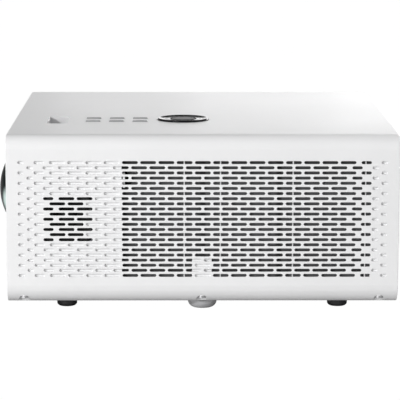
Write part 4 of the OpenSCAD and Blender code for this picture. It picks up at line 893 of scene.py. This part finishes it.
# Painted reflection: the centre of the mint glow that is painted low on the front glass's near rim
PAINTED_SHEEN_AT = (APEX + 0.0052, LENS[1] - 0.0172, LENS[2] - 0.006)
COATED = coated_glass("coated_glass", PAINTED_SHEEN_AT, (0.0034, 0.014, 0.0105))
elements = [turned(front, LENS, "x", steps=128), turned(back, LENS, "x", steps=96)]
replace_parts(built("lens_elements", elements, COATED, "lens"), "lens_glasses")
softened("focus_ring", WHITE, 0.00012, 1)

# ---------------------------------------------------------------- light engine
# A black box with a screwed lid turns the light of one bright source, through a condenser, two
# grooved plates and the picture panel, off a mirror into the lens.

ENGINE = plastic("engine_black_plastic", (0.02, 0.02, 0.022), (0.014, 0.014, 0.016), 0.5, 0.65,
                 0.0005, 0.00002)
softened("optical_case", ENGINE, 0.0004)
softened("optical_lid", ENGINE, 0.0004)
COPPER = metal("copper_plate", (0.75, 0.42, 0.26), (0.6, 0.32, 0.2), 0.25, 0.4)
PHOSPHOR = plastic("yellow_phosphor", (0.85, 0.68, 0.1), (0.75, 0.58, 0.07), 0.4, 0.55, 0.0003)
phosphor_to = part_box("led_module")[0].y + 0.0014
softened("led_module", COPPER, 0.0002, second=(PHOSPHOR, 1, phosphor_to, -1))
softened("condenser_lens", glass("clear_optical_glass"), 0.0003)


def grooved(name, centre, pitch):
    """Clear sheet with fine round grooves: a saw wave of the distance from its middle as bump."""
    made = glass(name)
    links, shader = made.node_tree.links, made.node_tree.nodes["Principled BSDF"]
    place, centred, rings, bump = laid(made.node_tree, "TexCoord", "Mapping", "TexWave", "Bump")
    centred.inputs["Location"].default_value = [-value for value in centre]
    rings.wave_type, rings.rings_direction, rings.wave_profile = "RINGS", "Y", "SAW"
    rings.inputs["Scale"].default_value = 0.3 / pitch
    bump.inputs["Distance"].default_value = 0.0002
    links.new(place.outputs["Object"], centred.inputs["Vector"])
    links.new(centred.outputs["Vector"], rings.inputs["Vector"])
    links.new(rings.outputs["Color"], bump.inputs["Height"])
    links.new(bump.outputs["Normal"], shader.inputs["Normal"])
    return made


low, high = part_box("fresnel_lenses")
softened("fresnel_lenses", grooved("grooved_sheet", (low + high) / 2, 0.001), 0.0002)
PANEL_GLASS = plastic("picture_panel_glass", (0.02, 0.024, 0.035), (0.012, 0.014, 0.024),
                      0.04, 0.08, 0.0002, 0.000001)
softened("lcd_panel", ENGINE, 0.0002)
low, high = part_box("lcd_panel")
PANE_W, PANE_H, PANE_T = 0.0718, 0.0416, 0.0018
pane = [(PANE_W, PANE_H, 0.0004, height) for height in (-PANE_T / 2, PANE_T / 2)]
built("picture_glass", [stacked(pane, (low + high) / 2, "y")], PANEL_GLASS, "case")
MIRROR = metal("front_mirror", (0.93, 0.94, 0.95), (0.9, 0.91, 0.92), 0.0, 0.02, size=0.02)
softened("fold_mirror", MIRROR, 0.0003)
FIN = metal("pressed_aluminium", (0.78, 0.79, 0.8), (0.62, 0.63, 0.64), 0.25, 0.42,
            drawn=(1, 1, 0.05))
softened("heat_sink", FIN, 0.0002)

# ---------------------------------------------------------------- fans
# Two fans draw air in behind the filter and one blows it out at the back: black square frames
# with four struts, and rotors with seven curved blades.

FAN_BLACK = plastic("fan_black_plastic", (0.016, 0.016, 0.017), (0.01, 0.01, 0.011), 0.35, 0.5)
softened("fan_frames", FAN_BLACK, 0.0004)
BLADES, HUB_R, TIP_R, BLADE_T = 7, 0.015, 0.0322, 0.0012
SHAFT_R, PIPE_R, HUB_WALL, HUB_FLOOR, BLADE_AT = 0.00155, 0.003, 0.0012, 0.002, 0.0059


def blades():
    """Curved blades: round a thin loop (chord t, thickness) that is carried from the hub to the
    tip, twisted from 42 to 26 degrees, swept back and bowed by a parabola of its chord."""
    s = np.linspace(0, 1, 9)[:, None]
    loop = np.linspace(0, 2 * np.pi, 25)[None, :]
    t, side = np.cos(loop), np.sin(loop)
    chord, twist = 0.0062 + 0.0022 * s, np.radians(42 - 16 * s)
    along, across = t * chord, side * BLADE_T / 2 + 0.0009 * (1 - t ** 2)
    root = HUB_R - 0.0008
    r = root + (TIP_R - root) * s
    angle = (along * np.cos(twist) - across * np.sin(twist)) / r + 0.25 * s ** 2
    height = along * np.sin(twist) + across * np.cos(twist)
    one = np.stack([r + 0 * t, angle, height], -1)
    middle = one[:, :-1].mean(1, keepdims=True)
    one = np.concatenate([middle[:1] + 0 * one[:1], one, middle[-1:] + 0 * one[-1:]])
    one[:, -1] = one[:, 0]
    r, angle, height = np.moveaxis(np.stack([one] * BLADES), -1, 0)
    angle = angle + (np.arange(BLADES) * 2 * np.pi / BLADES)[:, None, None]
    return np.stack([r * np.cos(angle), r * np.sin(angle), height], -1)


for name, axis in (("intake_rotor_a", "y"), ("intake_rotor_b", "y"), ("exhaust_rotor", "x")):
    low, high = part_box(name)
    middle = np.array((low + high) / 2)
    depth = "xyz".index(axis)
    middle[depth] = low[depth]
    hub_h = high[depth] - low[depth]
    hub = eased([(SHAFT_R, 0), (0.004, 0), (0.005, 0.0003), (HUB_R, 0), (HUB_R, hub_h),
                 (HUB_R - HUB_WALL, hub_h), (HUB_R - HUB_WALL, HUB_FLOOR), (PIPE_R, HUB_FLOOR),
                 (PIPE_R, hub_h), (SHAFT_R, hub_h)],
                [0.0002, 0.0003, 0.0003, 0.0009, 0.0003, 0.0003, 0.0003, 0.0003, 0.0002, 0.0002])
    around = placed(blades(), middle + np.eye(3)[depth] * BLADE_AT, axis)
    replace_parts(built(name + "_wheel", [turned(hub, middle, axis), around], FAN_BLACK, name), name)

# ---------------------------------------------------------------- loudspeaker
# A pressed steel basket holds a black paper cone with a rolled rubber edge and a small dome. It
# stands behind the small field of open slots at the lens's end of the near side.

PAPER = plastic("black_paper", (0.02, 0.02, 0.021), (0.01, 0.01, 0.011), 0.6, 0.8, 0.0008, 0.00006)
BASKET = metal("dark_pressed_steel", (0.1, 0.1, 0.11), (0.07, 0.07, 0.08), 0.35, 0.5)
softened("speaker_basket", BASKET, 0.0003)
low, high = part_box("speaker_cone")
SPEAKER = ((low.x + high.x) / 2, low.y - 0.0004, (low.z + high.z) / 2)
CONE_R, ROLL_AT, ROLL_R, PAPER_T = (high.x - low.x) / 2, 0.0024, 0.0013, 0.0004
roll = arc(CONE_R - ROLL_AT, 0.0012, ROLL_R, 0, -180, 10) * (1, 0.6) + (0, 0.0005)
under = arc(CONE_R - ROLL_AT, 0.0012, ROLL_R - PAPER_T, -180, 0, 10) * (1, 0.6) + (0, 0.0006)
bell = np.array([(0.0145, 0.0022), (0.012, 0.0038), (0.009, 0.0062), (0.0066, 0.0084)])
cap_top = arc(0, 0.0098, 0.006, -26, -90, 10) * (1, 0.8) + (0, -0.0003)
cone = np.concatenate([[(CONE_R, 0.0009)], roll, bell, cap_top, [(0, 0.0058), (0.0052, 0.009)],
                       bell[::-1] + (0, 0.0005), under, [(CONE_R, 0.0014), (CONE_R, 0.0009)]])
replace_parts(built("speaker_paper_cone", [turned(cone, SPEAKER, "y")], PAPER, "case"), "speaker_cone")

# ---------------------------------------------------------------- disc loader
# A dark grey frame with a steel cover carries the tray on side rails. A motor, a belt and two
# acetal gears drive its rack, and a magnetic puck in the cover clamps the disc.

LOADER_GREY = plastic("loader_dark_grey", (0.045, 0.045, 0.048), (0.035, 0.035, 0.038),
                      0.42, 0.55, 0.0005)
ACETAL = plastic("white_acetal", (0.8, 0.79, 0.74), (0.76, 0.75, 0.7), 0.3, 0.4)
softened("loader_frame", LOADER_GREY, 0.0003)
softened("loader_cover", STEEL, 0.0003)
softened("clamp_puck", WHITE, 0.0004)
softened("disc_tray", LOADER_GREY, 0.0004)
softened("tray_front", WHITE, 0.0007, 4)
for name in ("drive_gear", "pulley_gear", "motor_pulley"):
    softened(name, ACETAL, 0.00012, 1)
softened("drive_belt", RUBBER, 0.0001, 1)
softened("loading_motor", STEEL, 0.0004)

# ---------------------------------------------------------------- traverse and laser
# A pressed steel deck sinks at its front on a cam. It carries the spindle, and the laser sled,
# which a stepper motor's lead screw drives along two guide rods.

softened("traverse_deck", STEEL, 0.0002)
softened("cam_slider", ACETAL, 0.0003)
softened("turntable", STEEL, 0.0003)
softened("pickup_sled", LOADER_GREY, 0.0003)
softened("guide_rods", STEEL, 0.0002)
softened("lead_screw", STEEL, 0.0002)

# ---------------------------------------------------------------- boards and sockets
# The green main board carries the sockets at the back, and the brown power board the appliance
# inlet. Metal shells and black jacks pass through the rear panel.

BROWN_BOARD = board("brown_board", (0.3, 0.17, 0.07), (0.24, 0.13, 0.05), (0.6, 0.6, 0.58))
SOCKET_BLACK = plastic("socket_black_plastic", (0.018, 0.018, 0.019), (0.012, 0.012, 0.013),
                       0.3, 0.45)
SHELL = metal("tinned_shell", (0.8, 0.8, 0.8), (0.68, 0.68, 0.69), 0.15, 0.3)
for name, made in (("main_board", GREEN_BOARD), ("power_board", BROWN_BOARD)):
    chips_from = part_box(name)[0].z + BOARD_T + 0.00005
    softened(name, made, 0.0002, second=(CHIP, 2, chips_from, 1))
softened("mains_inlet", SOCKET_BLACK, 0.0003)
low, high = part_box("av_sockets")
JACKS_FROM = low.y + 0.038
softened("av_sockets", SHELL, 0.0001, 1, second=(SOCKET_BLACK, 1, JACKS_FROM, 1))
wide, square = (-0.01, 0.0076, 0.0032), (-0.012, 0.0316, 0.0039)
wide, square = ((high.x + x, low.y + y, low.z + z) for x, y, z in (wide, square))
wide_core = [(0.0138, 0.0048, 0.0003, 0.0001), (0.0138, 0.0048, 0.0003, 0.001),
             (0.0105, 0.0013, 0.0002, 0.001), (0.0105, 0.0013, 0.0002, 0.0088),
             (0.0101, 0.0009, 0.0001, 0.009)]
square_back = [(0.0124, 0.006, 0.0003, 0.0001), (0.0124, 0.006, 0.0003, 0.001)]
square_tongue = [(0.011, 0.0019, 0.0002, 0.0009), (0.011, 0.0019, 0.0002, 0.0103),
                 (0.0106, 0.0015, 0.0001, 0.0105)]
built("port_tongues", [stacked(wide_core, wide, "x"), stacked(square_back, square, "x"),
                       stacked(square_tongue, np.add(square, (0, 0, 0.0009)), "x")],
      SOCKET_BLACK, "case")

low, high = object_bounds()
